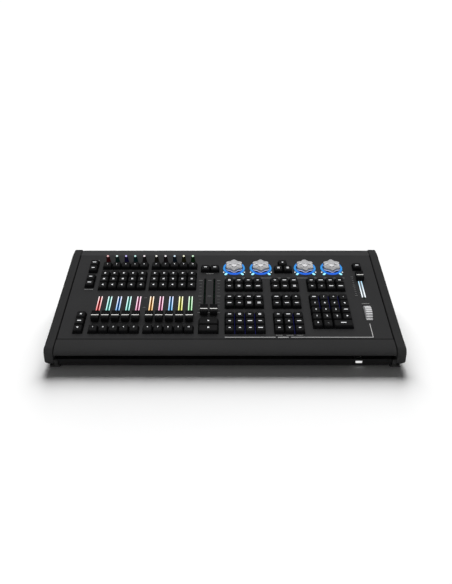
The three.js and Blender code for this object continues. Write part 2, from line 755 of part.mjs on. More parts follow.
// A large flat wheel with six finger lobes, one of them towards the operator, on a shaft.
function encoderWheel() {
  const bevel = 1.6;
  const points = [];
  const steps = 36;
  for (let step = 0; step < steps; step += 1) {
    const angle = (step / steps) * 2 * Math.PI;
    const radius = ENCODER_RADIUS - (ENCODER_LOBE_DEPTH / 2) * (1 + Math.cos(ENCODER_LOBES * angle));
    points.push([radius * Math.cos(angle), radius * Math.sin(angle)]);
  }
  const geometry = new THREE.ExtrudeGeometry(outline(points), {
    depth: ENCODER_TOP - ENCODER_BOTTOM - 2 * bevel,
    bevelEnabled: true,
    bevelThickness: bevel,
    bevelSize: bevel,
    bevelOffset: -bevel,
    bevelSegments: 1,
  });
  geometry.translate(0, 0, ENCODER_BOTTOM + bevel);
  return solid(geometry).add(post(0, 0, SHAFT_RADIUS, SHAFT_BOTTOM, ENCODER_BOTTOM + bevel));
}

function rotaryKnob() {
  return turned(
    [
      [0, SHAFT_BOTTOM],
      [SHAFT_RADIUS, SHAFT_BOTTOM],
      [SHAFT_RADIUS, 0.8],
      [KNOB_SKIRT_RADIUS, 0.8],
      [KNOB_SKIRT_RADIUS, 5],
      [KNOB_TOP_RADIUS, KNOB_HEIGHT - 2],
      [KNOB_TOP_RADIUS - 1, KNOB_HEIGHT],
      [0, KNOB_HEIGHT],
    ],
    12,
  );
}

// A ribbed wheel on a cross axle, with its top edge through the deck.
function thumbWheel() {
  const points = [];
  for (let step = 0; step < 2 * WHEEL_RIBS; step += 1) {
    const angle = (step / WHEEL_RIBS) * Math.PI;
    const radius = step % 2 === 0 ? WHEEL_RADIUS : WHEEL_RADIUS - 1;
    points.push([radius * Math.cos(angle), radius * Math.sin(angle)]);
  }
  const drum = extrudeAcross(outline(points), -WHEEL_WIDTH / 2, WHEEL_WIDTH / 2);
  const axle = crossPost(0, 0, AXLE_RADIUS, -WHEEL_WIDTH + 1.2, WHEEL_WIDTH - 1.2);
  return drum.add(axle);
}

// ---- Inside ----
// A fader body stands on the board, with a groove that guides the slider's stem.
function faderBody({ x, y, travel }) {
  const end = 10;
  return boxBetween([x - 4.5, y - end, BOARD_TOP - 0.1], [x + 4.5, y + travel + end, -SHEET - 0.4]);
}

function faderGroove({ x, y, travel }) {
  const end = STEM_LENGTH / 2 + 1;
  return boxBetween([x - 1.1, y - end, STEM_BOTTOM - 0.4], [x + 1.1, y + travel + end, 0]);
}

function circuitBoard({ x0, x1, y0, y1 }, { faders, shafts, standoffs, cutouts }) {
  const sheet = boxBetween([x0, y0, BOARD_TOP - BOARD_THICKNESS], [x1, y1, BOARD_TOP]);
  const housings = shafts.map(({ x, y, half, top }) =>
    boxBetween([x - half, y - half, BOARD_TOP - 0.1], [x + half, y + half, top]),
  );
  const posts = standoffs.map(([x, y]) => post(x, y, 2.5, BOARD_TOP - 0.1, -SHEET - GAP, 8));
  const bores = shafts.map(({ x, y }) => post(x, y, SHAFT_RADIUS + GAP, SHAFT_BOTTOM - 0.3, 0));
  const whole = join([sheet, ...faders.map(faderBody), ...housings, ...posts]);
  return cut(whole, [...faders.map(faderGroove), ...bores, ...cutouts]);
}

function playbackBoard() {
  return circuitBoard(
    { x0: -290, x1: -8, y0: 4, y1: 250 },
    {
      faders: FADERS.filter((fader) => fader.x < 0),
      shafts: PLAYBACK_COLUMNS.map((x) => ({ x, y: KNOB_Y, half: 4.4, top: -4 })),
      standoffs: [[-287, 100], [-287, 246], [-156, 125], [-12, 246], [-12, 53], [-156, 36]],
      cutouts: [],
    },
  );
}

function programmerBoard() {
  const clearance = { x: 16, y: 32 }; // round the thumb wheel's axle
  const wheelClearance = boxBetween(
    [RIGHT_COLUMN_X - clearance.x, WHEEL_Y - clearance.y, -20],
    [RIGHT_COLUMN_X + 2 * clearance.x, WHEEL_Y + clearance.y, 0],
  );
  return circuitBoard(
    { x0: -4, x1: 290, y0: 4, y1: 250 },
    {
      faders: FADERS.filter((fader) => fader.x > 0),
      shafts: ENCODER_COLUMNS.map((x) => ({ x, y: ENCODER_Y, half: 6.5, top: -3 })),
      standoffs: [[83, 125], [156, 125], [83, 70], [254, 125], [286, 246], [2, 246], [286, 8]],
      cutouts: [wheelClearance],
    },
  );
}

// A power supply: a mounting plate, with a cover over its components.
const SUPPLY_PLATE = { x0: -286, x1: -176, y0: 190, y1: 268, thickness: 2 };
const SUPPLY_COVER = { inset: 6, height: 33 };

function powerSupply() {
  const { x0, x1, y0, y1, thickness } = SUPPLY_PLATE;
  const { inset, height } = SUPPLY_COVER;
  const z = TRAY_FLOOR_Z + GAP;
  const plate = boxBetween([x0, y0, z], [x1, y1, z + thickness]);
  const cover = boxBetween(
    [x0 + inset, y0 + inset, z + thickness / 2],
    [x1 - inset, y1 - inset, z + height],
  );
  return plate.add(cover);
}

// The processor board, on standoffs, with a finned heat sink, a memory card and a connector.
const PROCESSOR = { x0: 10, x1: 180, y0: 130, y1: 270, standoff: 8, corner: 6, postRadius: 3 };
const HEAT_SINK = { x0: 60, x1: 120, y0: 170, y1: 230, base: 6, height: 20, fins: 7, finWidth: 2 };
const MEMORY_CARD = { x0: 135, x1: 165, y0: 150, y1: 250, height: 6 };
const BOARD_CONNECTOR = { x0: 16, x1: 50, y0: 240, y1: 266, height: 14 };

function processorBoard() {
  const { x0, x1, y0, y1, standoff, corner, postRadius } = PROCESSOR;
  const floorZ = TRAY_FLOOR_Z + GAP;
  const boardZ = floorZ + standoff;
  const overlap = 0.6; // joins what stands on the board to it
  const part = (item, height) =>
    boxBetween([item.x0, item.y0, boardZ + BOARD_THICKNESS - overlap], [item.x1, item.y1, boardZ + height]);
  const board = boxBetween([x0, y0, boardZ], [x1, y1, boardZ + BOARD_THICKNESS]);
  const finPitch = (HEAT_SINK.x1 - HEAT_SINK.x0 - HEAT_SINK.finWidth) / (HEAT_SINK.fins - 1);
  const fins = [];
  for (let index = 0; index < HEAT_SINK.fins; index += 1) {
    const finX = HEAT_SINK.x0 + index * finPitch;
    fins.push(part({ ...HEAT_SINK, x0: finX, x1: finX + HEAT_SINK.finWidth }, HEAT_SINK.height));
  }
  const standoffs = [x0 + corner, x1 - corner].flatMap((x) =>
    [y0 + corner, y1 - corner].map((y) => post(x, y, postRadius, floorZ, boardZ + overlap, 8)),
  );
  return join([
    board,
    part(HEAT_SINK, HEAT_SINK.base),
    part(MEMORY_CARD, MEMORY_CARD.height),
    part(BOARD_CONNECTOR, BOARD_CONNECTOR.height),
    ...fins,
    ...standoffs,
  ]);
}

// ---- Assembly ----
addPiece('base_tray', trayShell(), trayPaint, desk);
addPiece('palm_rest', palmRest(), deckPaint, desk);
addPiece('rear_panel', rearPanel(), trayPaint, desk);
addPiece('left_cheek', cheek(-1), cheekPlastic, desk);
addPiece('right_cheek', cheek(1), cheekPlastic, desk);
for (const [sideName, side] of [['left', -1], ['right', 1]]) {
  addPiece(`foot_front_${sideName}`, foot(side, FRONT_FOOT_Y, true), footRubber, desk);
  addPiece(`foot_rear_${sideName}`, foot(side, REAR_FOOT_Y, false), footRubber, desk);
}
addPiece('usb_port', usbPort(), socketMetal, desk);
addPiece('power_inlet', powerInlet(), socketPlastic, desk);
const powerSwitch = addPiece('power_switch', rocker(), socketPlastic, desk);
powerSwitch.position.set(INLET_X, ROCKER_PIVOT_Y, INLET_Z + ROCKER_OFFSET);
powerSwitch.rotation.x = ROCKER_REST_TILT;
DMX_COLUMNS.forEach((x, index) => {
  addPiece(`dmx_socket_${index + 1}`, dmxSocket(x), socketMetal, desk);
});
addPiece('network_socket', networkSocket(), socketPlastic, desk);
addPiece('power_supply', powerSupply(), casingSteel, desk);
addPiece('processor_board', processorBoard(), boardGreen, desk);

addPiece('top_panel', topPanel(), deckPaint, deck);
addPiece('playback_board', playbackBoard(), boardGreen, deck);
addPiece('programmer_board', programmerBoard(), boardGreen, deck);
for (const bank of KEY_BANKS) {
  addPiece(bank.name, keyBank(bank), keyPlastic, deck);
}
for (const fader of FADERS) {
  const slider = addPiece(fader.name, faderSlider(), capPlastic, deck);
  slider.position.set(fader.x, fader.y + fader.rest, 0);
}
ENCODER_COLUMNS.forEach((x, index) => {
  const wheel = addPiece(`encoder_wheel_${index + 1}`, encoderWheel(), wheelSilver, deck);
  wheel.position.set(x, ENCODER_Y, 0);
});
PLAYBACK_COLUMNS.forEach((x, index) => {
  const knob = addPiece(`rotary_knob_${index + 1}`, rotaryKnob(), knobPlastic, deck);
  knob.position.set(x, KNOB_Y, 0);
});
const jogWheel = addPiece('thumb_wheel', thumbWheel(), wheelSilver, deck);
jogWheel.position.set(RIGHT_COLUMN_X, WHEEL_Y, WHEEL_DEPTH);

export default desk;
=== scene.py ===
"""Lighting control desk: the visual model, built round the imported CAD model.

Pieces on the sloping deck are made in the deck's own frame, in millimetres: x across the desk, y up the
slope from the bend behind the palm rest, z out of the deck's top face. The housing is made in the row frame.
"""

import functools
import json
import math
import random

import bmesh
import bpy
from mathutils import Matrix, Vector

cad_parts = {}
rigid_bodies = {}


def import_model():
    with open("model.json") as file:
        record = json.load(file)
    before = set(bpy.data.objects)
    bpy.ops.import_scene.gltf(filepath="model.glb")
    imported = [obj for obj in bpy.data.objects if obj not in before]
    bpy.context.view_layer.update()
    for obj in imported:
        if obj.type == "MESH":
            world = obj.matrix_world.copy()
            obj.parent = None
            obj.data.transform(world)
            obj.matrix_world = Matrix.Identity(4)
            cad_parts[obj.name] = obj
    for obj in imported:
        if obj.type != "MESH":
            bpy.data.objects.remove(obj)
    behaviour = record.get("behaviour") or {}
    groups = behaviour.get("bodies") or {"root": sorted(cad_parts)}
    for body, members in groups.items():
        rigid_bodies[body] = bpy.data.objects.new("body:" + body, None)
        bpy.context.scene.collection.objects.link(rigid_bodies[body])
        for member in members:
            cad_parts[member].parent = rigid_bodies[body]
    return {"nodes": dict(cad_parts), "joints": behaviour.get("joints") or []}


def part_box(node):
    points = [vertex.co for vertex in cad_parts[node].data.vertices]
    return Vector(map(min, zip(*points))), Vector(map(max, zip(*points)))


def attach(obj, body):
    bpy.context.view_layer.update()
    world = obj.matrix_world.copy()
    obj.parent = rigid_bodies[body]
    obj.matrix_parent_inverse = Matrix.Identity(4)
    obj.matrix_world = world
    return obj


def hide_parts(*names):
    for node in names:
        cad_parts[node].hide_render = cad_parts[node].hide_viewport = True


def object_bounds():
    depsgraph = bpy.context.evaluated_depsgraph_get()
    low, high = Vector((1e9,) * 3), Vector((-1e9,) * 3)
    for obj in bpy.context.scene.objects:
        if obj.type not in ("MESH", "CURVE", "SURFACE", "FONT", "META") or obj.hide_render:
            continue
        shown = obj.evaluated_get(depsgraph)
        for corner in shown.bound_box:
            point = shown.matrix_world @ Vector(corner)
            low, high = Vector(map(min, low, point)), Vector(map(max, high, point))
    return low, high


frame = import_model()
cad_low, cad_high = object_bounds()

MM = 0.001
ROW = Matrix.Identity(4)
JOINTS = {joint["name"]: joint for joint in frame["joints"]}
BEND_TO_ENCODERS = 210  # mm up the slope from the bend to the encoder axes
FOLD_Y = 256  # where the deck turns into the flat strip at the back
FADER_NAMES = [f"playback_fader_{n}" for n in range(1, 11)]


def joint_point(name):
    return Vector(JOINTS[name]["pos_m"])


def in_mm(corners):
    return [corner / MM for corner in corners]


def deck_matrix():
    """The deck's frame, from the axes of a fader slide and an encoder wheel."""
    across = Vector((1, 0, 0))
    up_slope = Vector(JOINTS["playback_fader_1_slide"]["axis"]).normalized()
    out = across.cross(up_slope)
    origin = joint_point("encoder_wheel_1_turn") - up_slope * BEND_TO_ENCODERS * MM
    origin.x = 0
    matrix = Matrix((across, up_slope, out)).transposed().to_4x4()
    matrix.translation = origin
    return matrix


DECK = deck_matrix()
TO_DECK = DECK.inverted()


def on_deck(x, y, z=0.0):
    """The deck's frame moved to a point on the deck, in mm."""
    return DECK @ Matrix.Translation(Vector((x, y, z)) * MM)


def at_joint(name):
    """The deck's frame moved along the deck to a joint."""
    centre = TO_DECK @ joint_point(name) / MM
    return on_deck(centre.x, centre.y)


def deck_box(node):
    """Lowest and highest corner of a CAD node in the deck's frame, in mm."""
    points = [TO_DECK @ v.co / MM for v in frame["nodes"][node].data.vertices]
    low = Vector(min(p[axis] for p in points) for axis in range(3))
    high = Vector(max(p[axis] for p in points) for axis in range(3))
    return low, high


def deck_middle(node):
    """(x, y) of a CAD node's middle in the deck's frame, in mm."""
    low, high = deck_box(node)
    return (low.x + high.x) / 2, (low.y + high.y) / 2


# ---- Mesh making ----
class Solid:
    """Points in mm, and faces with the number of the material that each one takes."""

    def __init__(self):
        self.points = []
        self.faces = []
        self.slots = []

    def add(self, points, faces, slot=0):
        start = len(self.points)
        self.points.extend(points)
        for face in faces:
            self.faces.append([start + index for index in face])
            self.slots.append(slot)

    def stack(self, rings, slot=0, band_slots=None, caps=(True, True), cap_slots=None):
        """Skins a list of equally long rings, with flat faces over the first and the last."""
        count = len(rings[0])
        points = [p for ring in rings for p in ring]
        start = len(self.points)
        self.points.extend(points)
        for level in range(len(rings) - 1):
            band = band_slots[level] if band_slots else slot
            for index in range(count):
                after = (index + 1) % count
                low = start + level * count
                high = low + count
                self.faces.append([low + index, low + after, high + after, high + index])
                self.slots.append(band)
        first_slot, last_slot = cap_slots or (slot, slot)
        if caps[0]:
            self.faces.append([start + index for index in reversed(range(count))])
            self.slots.append(first_slot)
        if caps[1]:
            last = start + (len(rings) - 1) * count
            self.faces.append([last + index for index in range(count)])
            self.slots.append(last_slot)

    def prism(self, outline, z0, z1, slot=0):
        """A flat outline made thick, from z0 to z1."""
        self.stack([[(x, y, z) for x, y in outline] for z in (z0, z1)], slot)

    def box(self, low, high, slot=0):
        (x0, y0, z0), (x1, y1, z1) = low, high
        self.prism([(x0, y0), (x1, y0), (x1, y1), (x0, y1)], z0, z1, slot)


def mirrored(solid):
    other = Solid()
    other.points = [(-x, y, z) for x, y, z in solid.points]
    other.faces, other.slots = solid.faces, solid.slots
    return other


def piece(name, solid, materials, body, matrix=ROW, replaces=(), smooth=35):
    """Makes a mesh object from a Solid and lets it ride on a CAD body."""
    mesh = bpy.data.meshes.new(name)
    mesh.from_pydata([Vector(p) * MM for p in solid.points], [], solid.faces)
    for material in materials:
        mesh.materials.append(material)
    mesh.polygons.foreach_set("material_index", solid.slots)
    shaped = bmesh.new()
    shaped.from_mesh(mesh)
    bmesh.ops.recalc_face_normals(shaped, faces=shaped.faces)
    shaped.to_mesh(mesh)
    shaped.free()
    mesh.shade_smooth()
    mesh.set_sharp_from_angle(angle=math.radians(smooth))
    made = bpy.data.objects.new(name, mesh)
    bpy.context.scene.collection.objects.link(made)
    made.matrix_world = matrix
    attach(made, body)
    if replaces:
        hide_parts(*replaces)
    return made


def rounded_rect(x, y, width, length, radius, steps=4):
    """A rectangle's outline with round corners, counter-clockwise from the right front corner."""
    points = []
    for quarter, (sx, sy) in enumerate([(1, -1), (1, 1), (-1, 1), (-1, -1)]):
        centre = (x + sx * (width / 2 - radius), y + sy * (length / 2 - radius))
        points += arc(*centre, radius, -90 + 90 * quarter, 90 * quarter, steps)
    return points


def circle(x, y, radius, steps=24):
    turns = [2 * math.pi * step / steps for step in range(steps)]
    return [(x + radius * math.cos(a), y + radius * math.sin(a)) for a in turns]


def arc(x, y, radius, start, end, steps=6, rise=None):
    """Points along an arc, with its angles in degrees. With rise, along an ellipse of that half height."""
    angles = [math.radians(start + (end - start) * step / steps) for step in range(steps + 1)]
    rise = rise or radius
    return [(x + radius * math.cos(a), y + rise * math.sin(a)) for a in angles]


def ring_of(reach, z, steps):
    """A level ring of points. reach gives the distance from the axis for a step's number and its angle."""
    points = []
    for step in range(steps):
        angle = 2 * math.pi * step / steps
        radius = reach(step, angle)
        points.append((radius * math.cos(angle), radius * math.sin(angle), z))
    return points


def inset(outline, distance):
    """The outline of a counter-clockwise polygon moved inwards."""
    moved = []
    count = len(outline)
    for index in range(count):
        before = Vector(outline[index - 1])
        here = Vector(outline[index])
        after = Vector(outline[(index + 1) % count])
        first = (here - before).normalized()
        second = (after - here).normalized()
        normal = Vector((-first.y - second.y, first.x + second.x)).normalized()
        lean = max(0.5, normal.dot(Vector((-first.y, first.x))))
        moved.append(tuple(here + normal * distance / lean))
    return moved


def slab(solid, outline, start, end, radii, slot=0, steps=4):
    """A thick plate with its outline in (y, z), its faces at start and end along x, and rounded rims."""
    rings = []
    for depth, radius, inwards in ((start, radii[0], 1), (end, radii[1], -1)):
        rim = []
        for step in range(steps + 1):
            angle = math.pi / 2 * step / steps
            shape = inset(outline, radius * (1 - math.sin(angle))) if radius else outline
            level = depth + inwards * radius * (1 - math.cos(angle))
            rim.append([(level, y, z) for y, z in shape])
            if not radius:
                break
        rings.extend(rim if inwards > 0 else reversed(rim))
    solid.stack(rings, slot)


def across_y(levels):
    """Rings from (outline in x and z, y) pairs."""
    return [[(x, y, z) for x, z in outline] for outline, y in levels]


def beside(x, side, near, far):
    """The ends in x, lowest first, of a bar that lies between near and far mm to one side of x."""
    return sorted((x + side * near, x + side * far))


# ---- Materials ----
SHEEN = 0.03  # the finishes are matt, so they mirror little of the light behind the desk


def grey(level):
    return (level, level, level)


def shader(name, color, roughness, metallic=0.0):
    material = bpy.data.materials.new(name)
    material.use_nodes = True
    principled = material.node_tree.nodes["Principled BSDF"]
    principled.inputs["Base Color"].default_value = (*color, 1)
    principled.inputs["Roughness"].default_value = roughness
    principled.inputs["Metallic"].default_value = metallic
    principled.inputs["Specular IOR Level"].default_value = SHEEN
    return material, material.node_tree, principled


def noise(tree, scale, detail=3.0, stretch=(1, 1, 1)):
    """Object-space noise, with scale in features per metre."""
    coordinates = tree.nodes.new("ShaderNodeTexCoord")
    mapping = tree.nodes.new("ShaderNodeMapping")
    mapping.inputs["Scale"].default_value = stretch
    texture = tree.nodes.new("ShaderNodeTexNoise")
    texture.inputs["Scale"].default_value = scale
    texture.inputs["Detail"].default_value = detail
    tree.links.new(coordinates.outputs["Object"], mapping.inputs["Vector"])
    tree.links.new(mapping.outputs["Vector"], texture.inputs["Vector"])
    return texture.outputs["Fac"]


def place_on(tree, axis):
    """The place along one of the object's own axes, in metres."""
    coordinates = tree.nodes.new("ShaderNodeTexCoord")
    split = tree.nodes.new("ShaderNodeSeparateXYZ")
    tree.links.new(coordinates.outputs["Object"], split.inputs["Vector"])
    return split.outputs[axis]


def mapped(tree, value, start, end, low=0.0, high=1.0):
    """A number that goes from low to high as value goes from start to end."""
    span = tree.nodes.new("ShaderNodeMapRange")
    for name, number in (("From Min", start), ("From Max", end), ("To Min", low), ("To Max", high)):
        span.inputs[name].default_value = number
    tree.links.new(value, span.inputs["Value"])
    return span.outputs["Result"]


def ramp(tree, factor, stops):
    """A colour that goes through the stops, each (position, colour), as factor goes from 0 to 1."""
    node = tree.nodes.new("ShaderNodeValToRGB")
    elements = node.color_ramp.elements
    for element, (position, color) in zip(elements, (stops[0], stops[-1])):
        element.position = position
        element.color = (*color, 1)
    for position, color in stops[1:-1]:
        elements.new(position).color = (*color, 1)
    tree.links.new(factor, node.inputs["Fac"])
    return node.outputs["Color"]


def blended(tree, factor, low, high):
    """A colour from low to high as a noise factor goes through the middle of its range."""
    return ramp(tree, factor, [(0.35, low), (0.65, high)])


def lit(tree, principled, color, strength):
    tree.links.new(color, principled.inputs["Emission Color"])
    principled.inputs["Emission Strength"].default_value = strength


def scaled(color, factor):
    return tuple(min(1.0, channel * factor) for channel in color)


def textured(name, color, roughness, metallic=0.0, grain=900.0, bump=0.15, depth=0.1, tone=0.1,
             stretch=(1, 1, 1)):
    """A surface with a fine grain in its colour, roughness and relief. depth is the relief in mm."""
    material, tree, principled = shader(name, color, roughness, metallic)
    fine = noise(tree, grain, 3, stretch)
    broad = noise(tree, 14, 2)
    mottle = blended(tree, fine, scaled(color, 1 - tone), scaled(color, 1 + tone))
    tree.links.new(mottle, principled.inputs["Base Color"])
    worn = mapped(tree, broad, 0.3, 0.7, roughness * 0.9, min(1, roughness * 1.1))
    tree.links.new(worn, principled.inputs["Roughness"])
    relief = tree.nodes.new("ShaderNodeBump")
    relief.inputs["Strength"].default_value = bump
    relief.inputs["Distance"].default_value = depth * MM
    tree.links.new(fine, relief.inputs["Height"])
    tree.links.new(relief.outputs["Normal"], principled.inputs["Normal"])
    return material


def glowing(name, low, high, strength, grain=400.0, base=grey(0.02)):
    """A surface that gives off light, whose brightness varies a little over it: a lit diffuser, or painted
    light on a print or plastic part that is no lamp.
    """
    material, tree, principled = shader(name, base, 0.4)
    lit(tree, principled, blended(tree, noise(tree, grain), low, high), strength)
    return material


def graded(name, front, back, y_front, y_back, strength):
    """A light line whose colour goes from front to back along the deck, between two y in mm."""
    material, tree, principled = shader(name, scaled(front, 0.02), 0.5)
    share = mapped(tree, place_on(tree, "Y"), y_front * MM, y_back * MM)
    lit(tree, principled, ramp(tree, share, [(0, front), (1, back)]), strength)
    return material


DECK_PAINT = textured("deck_paint", (0.037, 0.037, 0.038), 0.6, grain=1500, bump=0.25, depth=0.08)
STRIP_PAINTED_LIGHT = 1.4  # painted light: the flat strip at the back is painted lighter than the slope, as it faces the light more
PALM_PAINT = textured("palm_paint", (0.035, 0.035, 0.0355), 0.6, grain=1500, bump=0.25, depth=0.08)
TRAY_PAINT = textured("tray_paint", (0.018, 0.018, 0.0185), 0.5, grain=1200, bump=0.2, depth=0.08)
# painted shade in the deck's joints, and the real dark gasket in the unlit fader slots
SHADE_AND_GASKET_BLACK = textured("shade_and_gasket_black", grey(0.002), 0.8, grain=1200, bump=0.1, depth=0.05)
CHEEK_PLASTIC = textured("cheek_plastic", (0.034, 0.034, 0.0345), 0.62, grain=750, bump=0.55, depth=0.25)
FOOT_RUBBER = textured("foot_rubber", grey(0.034), 0.85, grain=500, bump=0.3, depth=0.15)
# The key plastic in two copies: a darker one for the lower sides, painted shade, and a lighter one for the
# top and upper sides, painted light.
KEY_SIDE_SHADED = textured("key_side_shaded", (0.005, 0.005, 0.0055), 0.5, grain=1600, bump=0.15, depth=0.05)
KEY_TOP_LIT = textured("key_top", (0.011, 0.011, 0.0115), 0.5, grain=1600, bump=0.25, depth=0.06)
CAP_PLASTIC = textured("cap_plastic", (0.006, 0.006, 0.0065), 0.42, grain=1400, bump=0.15, depth=0.05)
KNOB_PLASTIC = textured("knob_plastic", (0.008, 0.008, 0.009), 0.45, grain=1400, bump=0.12, depth=0.05)
WHEEL_SILVER = textured("wheel_silver", (0.42, 0.42, 0.43), 0.34, 0.35, 700, 0.05, 0.05, tone=0.06)
# light silver: the thumb wheel's own colour, and a painted highlight on the encoder wheels' ridges
SILVER_AND_RIDGE_HIGHLIGHT = textured("silver_and_ridge_highlight", (0.78, 0.78, 0.79), 0.35, 0.1, 700, 0.08, 0.05, tone=0.05)
RIB_GAP_PAINTED_SHADE = textured("rib_gap_painted_shade", (0.12, 0.12, 0.125), 0.5, grain=700, bump=0.1)
STEEL = textured("steel", (0.42, 0.42, 0.43), 0.3, 0.95, grain=500, bump=0.05, tone=0.08, stretch=(1, 12, 12))
CASING = textured("casing", (0.48, 0.48, 0.49), 0.38, 0.9, 300, 0.06, tone=0.08, stretch=(1, 20, 1))
SOCKET_PLASTIC = textured("socket_plastic", grey(0.012), 0.45, grain=1200, bump=0.15, depth=0.06)
BOARD_GREEN = textured("board_green", (0.014, 0.07, 0.035), 0.45, grain=260, bump=0.3, depth=0.1, tone=0.35)
GOLD = textured("contact_gold", (0.75, 0.5, 0.16), 0.3, 1.0, grain=900, bump=0.05)
# painted light: the prints glow though they are no lamps, so they stay bright
PRINT_WHITE = glowing("print_white", grey(0.40), grey(0.46), 0.7, base=grey(0.4))
PRINT_GREY = glowing("print_grey", grey(0.10), grey(0.14), 0.8, base=grey(0.2))
PRINT_DIM = glowing("print_dim", grey(0.05), grey(0.07), 0.6, base=grey(0.12))
# painted light: the fader caps' white line glows though it is no lamp
CAP_LINE = glowing("cap_line", (0.55, 0.55, 0.54), (0.62, 0.62, 0.60), 0.9, base=(0.7, 0.7, 0.68))
LEGEND = glowing("legend_glow", (0.90, 0.92, 0.95), (0.98, 0.99, 1.0), 1.1)
KEY_GLOW = glowing("key_glow", (0.0, 0.0, 0.06), (0.002, 0.002, 0.09), 1.0)
PILL_CYAN = glowing("pill_cyan", (0.25, 0.72, 0.95), (0.42, 0.88, 1.0), 1.4)
DOT_WHITE = glowing("dot_white", (0.7, 0.78, 0.85), (0.85, 0.9, 0.95), 1.3)
# painted light: the white USB tongue glows though it is no lamp
SOCKET_WHITE = glowing("usb_white", grey(0.5), grey(0.56), 1.0, base=grey(0.85))


# ---- Keys ----
KEY_HEIGHT = deck_box("shift_key")[1].z
KEY_SINK = -3.2  # keycaps end just under the deck
DISH = 0.35
DISH_REACH = 7.0


def dish_height(y):
    """The height of a keycap's hollow top, y mm behind its middle."""
    return KEY_HEIGHT - DISH * max(0.0, 1 - (y / DISH_REACH) ** 2)


def key_tops(node):
    """(x, y, width, length) of each keycap's flat top in the CAD mat, front row first."""
    mesh = frame["nodes"][node].data
    points = [TO_DECK @ v.co / MM for v in mesh.vertices]
    groups = []
    for polygon in mesh.polygons:
        corners = {
            (round(points[i].x, 1), round(points[i].y, 1))
            for i in polygon.vertices
            if points[i].z > KEY_HEIGHT - 0.05
        }
        if len(corners) < 3:
            continue
        touching = [group for group in groups if group & corners]
        groups = [group for group in groups if group not in touching]
        groups.append(corners.union(*touching))
    tops = []
    for group in groups:
        xs = [x for x, _ in group]
        ys = [y for _, y in group]
        middle = ((min(xs) + max(xs)) / 2, (min(ys) + max(ys)) / 2)
        tops.append((*middle, max(xs) - min(xs), max(ys) - min(ys)))
    return sorted(tops, key=lambda top: (round(top[1]), top[0]))


def key_rows(node):
    rows = {}
    for top in key_tops(node):
        rows.setdefault(round(top[1]), []).append(top)
    return [rows[y] for y in sorted(rows)]


def keycap(solid, x, y, width, length):
    """A sculpted cap: straight skirt, tapered sides, soft rim and a hollow top."""
    taper = 3.5
    levels = [
        (KEY_SINK, taper, 1.1),
        (0.9, taper, 1.1),
        (1.7, taper - 0.25, 1.2),
        (5.4, 1.3, 1.6),
        (6.9, 0.55, 1.9),
        (7.7, -0.35, 2.1),
        (KEY_HEIGHT, -1.5, 2.1),
    ]
    rings = [
        [(px, py, z) for px, py in rounded_rect(x, y, width + grow, length + grow, radius)]
        for z, grow, radius in levels
    ]
    for shrink in (2.6, 5.0, 8.0, 11.0):
        outline = rounded_rect(x, y, width - shrink, length - shrink, max(0.3, 2.1 - shrink / 8))
        rings.append([(px, py, dish_height(py - y)) for px, py in outline])
    # the lower sides take the shaded copy, and the upper sides and hollow top take the lit copy
    solid.stack(rings, band_slots=[0] * 3 + [1] * 7, cap_slots=(0, 1))


PRINT_SINK = 0.02  # mm that laid-on marks reach into the surface under them
PRINT_THICKNESS = 0.08
TEXT_LIFT = 0.02  # mm from the surface to the middle of a label's thickness


def strip(solid, x0, x1, y0, y1, height, steps=4):
    """A thin bar laid on a curved top. height gives the surface under each point."""
    rings = []
    for step in range(steps + 1):
        x = x0 + (x1 - x0) * step / steps
        front, back = height(x, y0) - PRINT_SINK, height(x, y1) - PRINT_SINK
        top_back, top_front = (x, y1, back + PRINT_THICKNESS), (x, y0, front + PRINT_THICKNESS)
        rings.append([(x, y0, front), (x, y1, back), top_back, top_front])
    solid.stack(rings)


def flat_shape(solid, outline, height):
    """A thin filled outline laid on a curved top."""
    lifts = (-PRINT_SINK, PRINT_THICKNESS - PRINT_SINK)
    solid.stack([[(x, y, height(x, y) + lift) for x, y in outline] for lift in lifts])


@functools.cache
def digit_mesh(text, size):
    """The extruded outline of a short generic label, in mm about its middle."""
    curve = bpy.data.curves.new("label", "FONT")
    curve.body = text
    curve.size = size
    curve.extrude = 0.05
    curve.offset = 0.035 * size
    curve.resolution_u = 3
    curve.align_x = "CENTER"
    curve.align_y = "CENTER"
    holder = bpy.data.objects.new("label", curve)
    mesh = bpy.data.meshes.new_from_object(holder)
    points = [tuple(v.co) for v in mesh.vertices]
    faces = [list(polygon.vertices) for polygon in mesh.polygons]
    bpy.data.objects.remove(holder)
    bpy.data.curves.remove(curve)
    bpy.data.meshes.remove(mesh)
    return points, faces


def add_text(solid, text, x, y, size, height):
    points, faces = digit_mesh(text, size)
    solid.add([(x + px, y + py, height(x + px, y + py) + TEXT_LIFT + pz) for px, py, pz in points], faces)


SYMBOLS = {
    "^": [(-1.9, -1.1), (1.9, -1.1), (0, 1.6)],
    "v": [(-1.9, 1.1), (0, -1.6), (1.9, 1.1)],
    ">": [(-1.2, -1.7), (1.6, 0), (-1.2, 1.7)],
    "<": [(1.2, -1.7), (1.2, 1.7), (-1.6, 0)],
}


def add_legend(solid, code, x, y, height, size):
    """One backlit mark. -6 is a bar 6 mm wide and =6 two of them; others are symbols or digits."""
    if code[0] in "-=" and len(code) > 1:
        half = float(code[1:]) / 2
        bars = [(-0.85, 0.85)] if code[0] == "-" else [(-2.1, -0.7), (0.7, 2.1)]
        for low, high in bars:
            strip(solid, x - half, x + half, y + low, y + high, height)
    elif code == "o":
        flat_shape(solid, circle(x, y, 1.2 * size, 14), height)
    elif code == "|":
        half, reach = 0.5 * size, 1.5 * size
        for side in (-0.8 * size, 0.8 * size):
            strip(solid, x + side - half, x + side + half, y - reach, y + reach, height, steps=1)
    elif code in SYMBOLS:
        flat_shape(solid, [(x + px * size, y + py * size) for px, py in SYMBOLS[code]], height)
    else:
        add_text(solid, code, x, y, 4.0 * size, height)


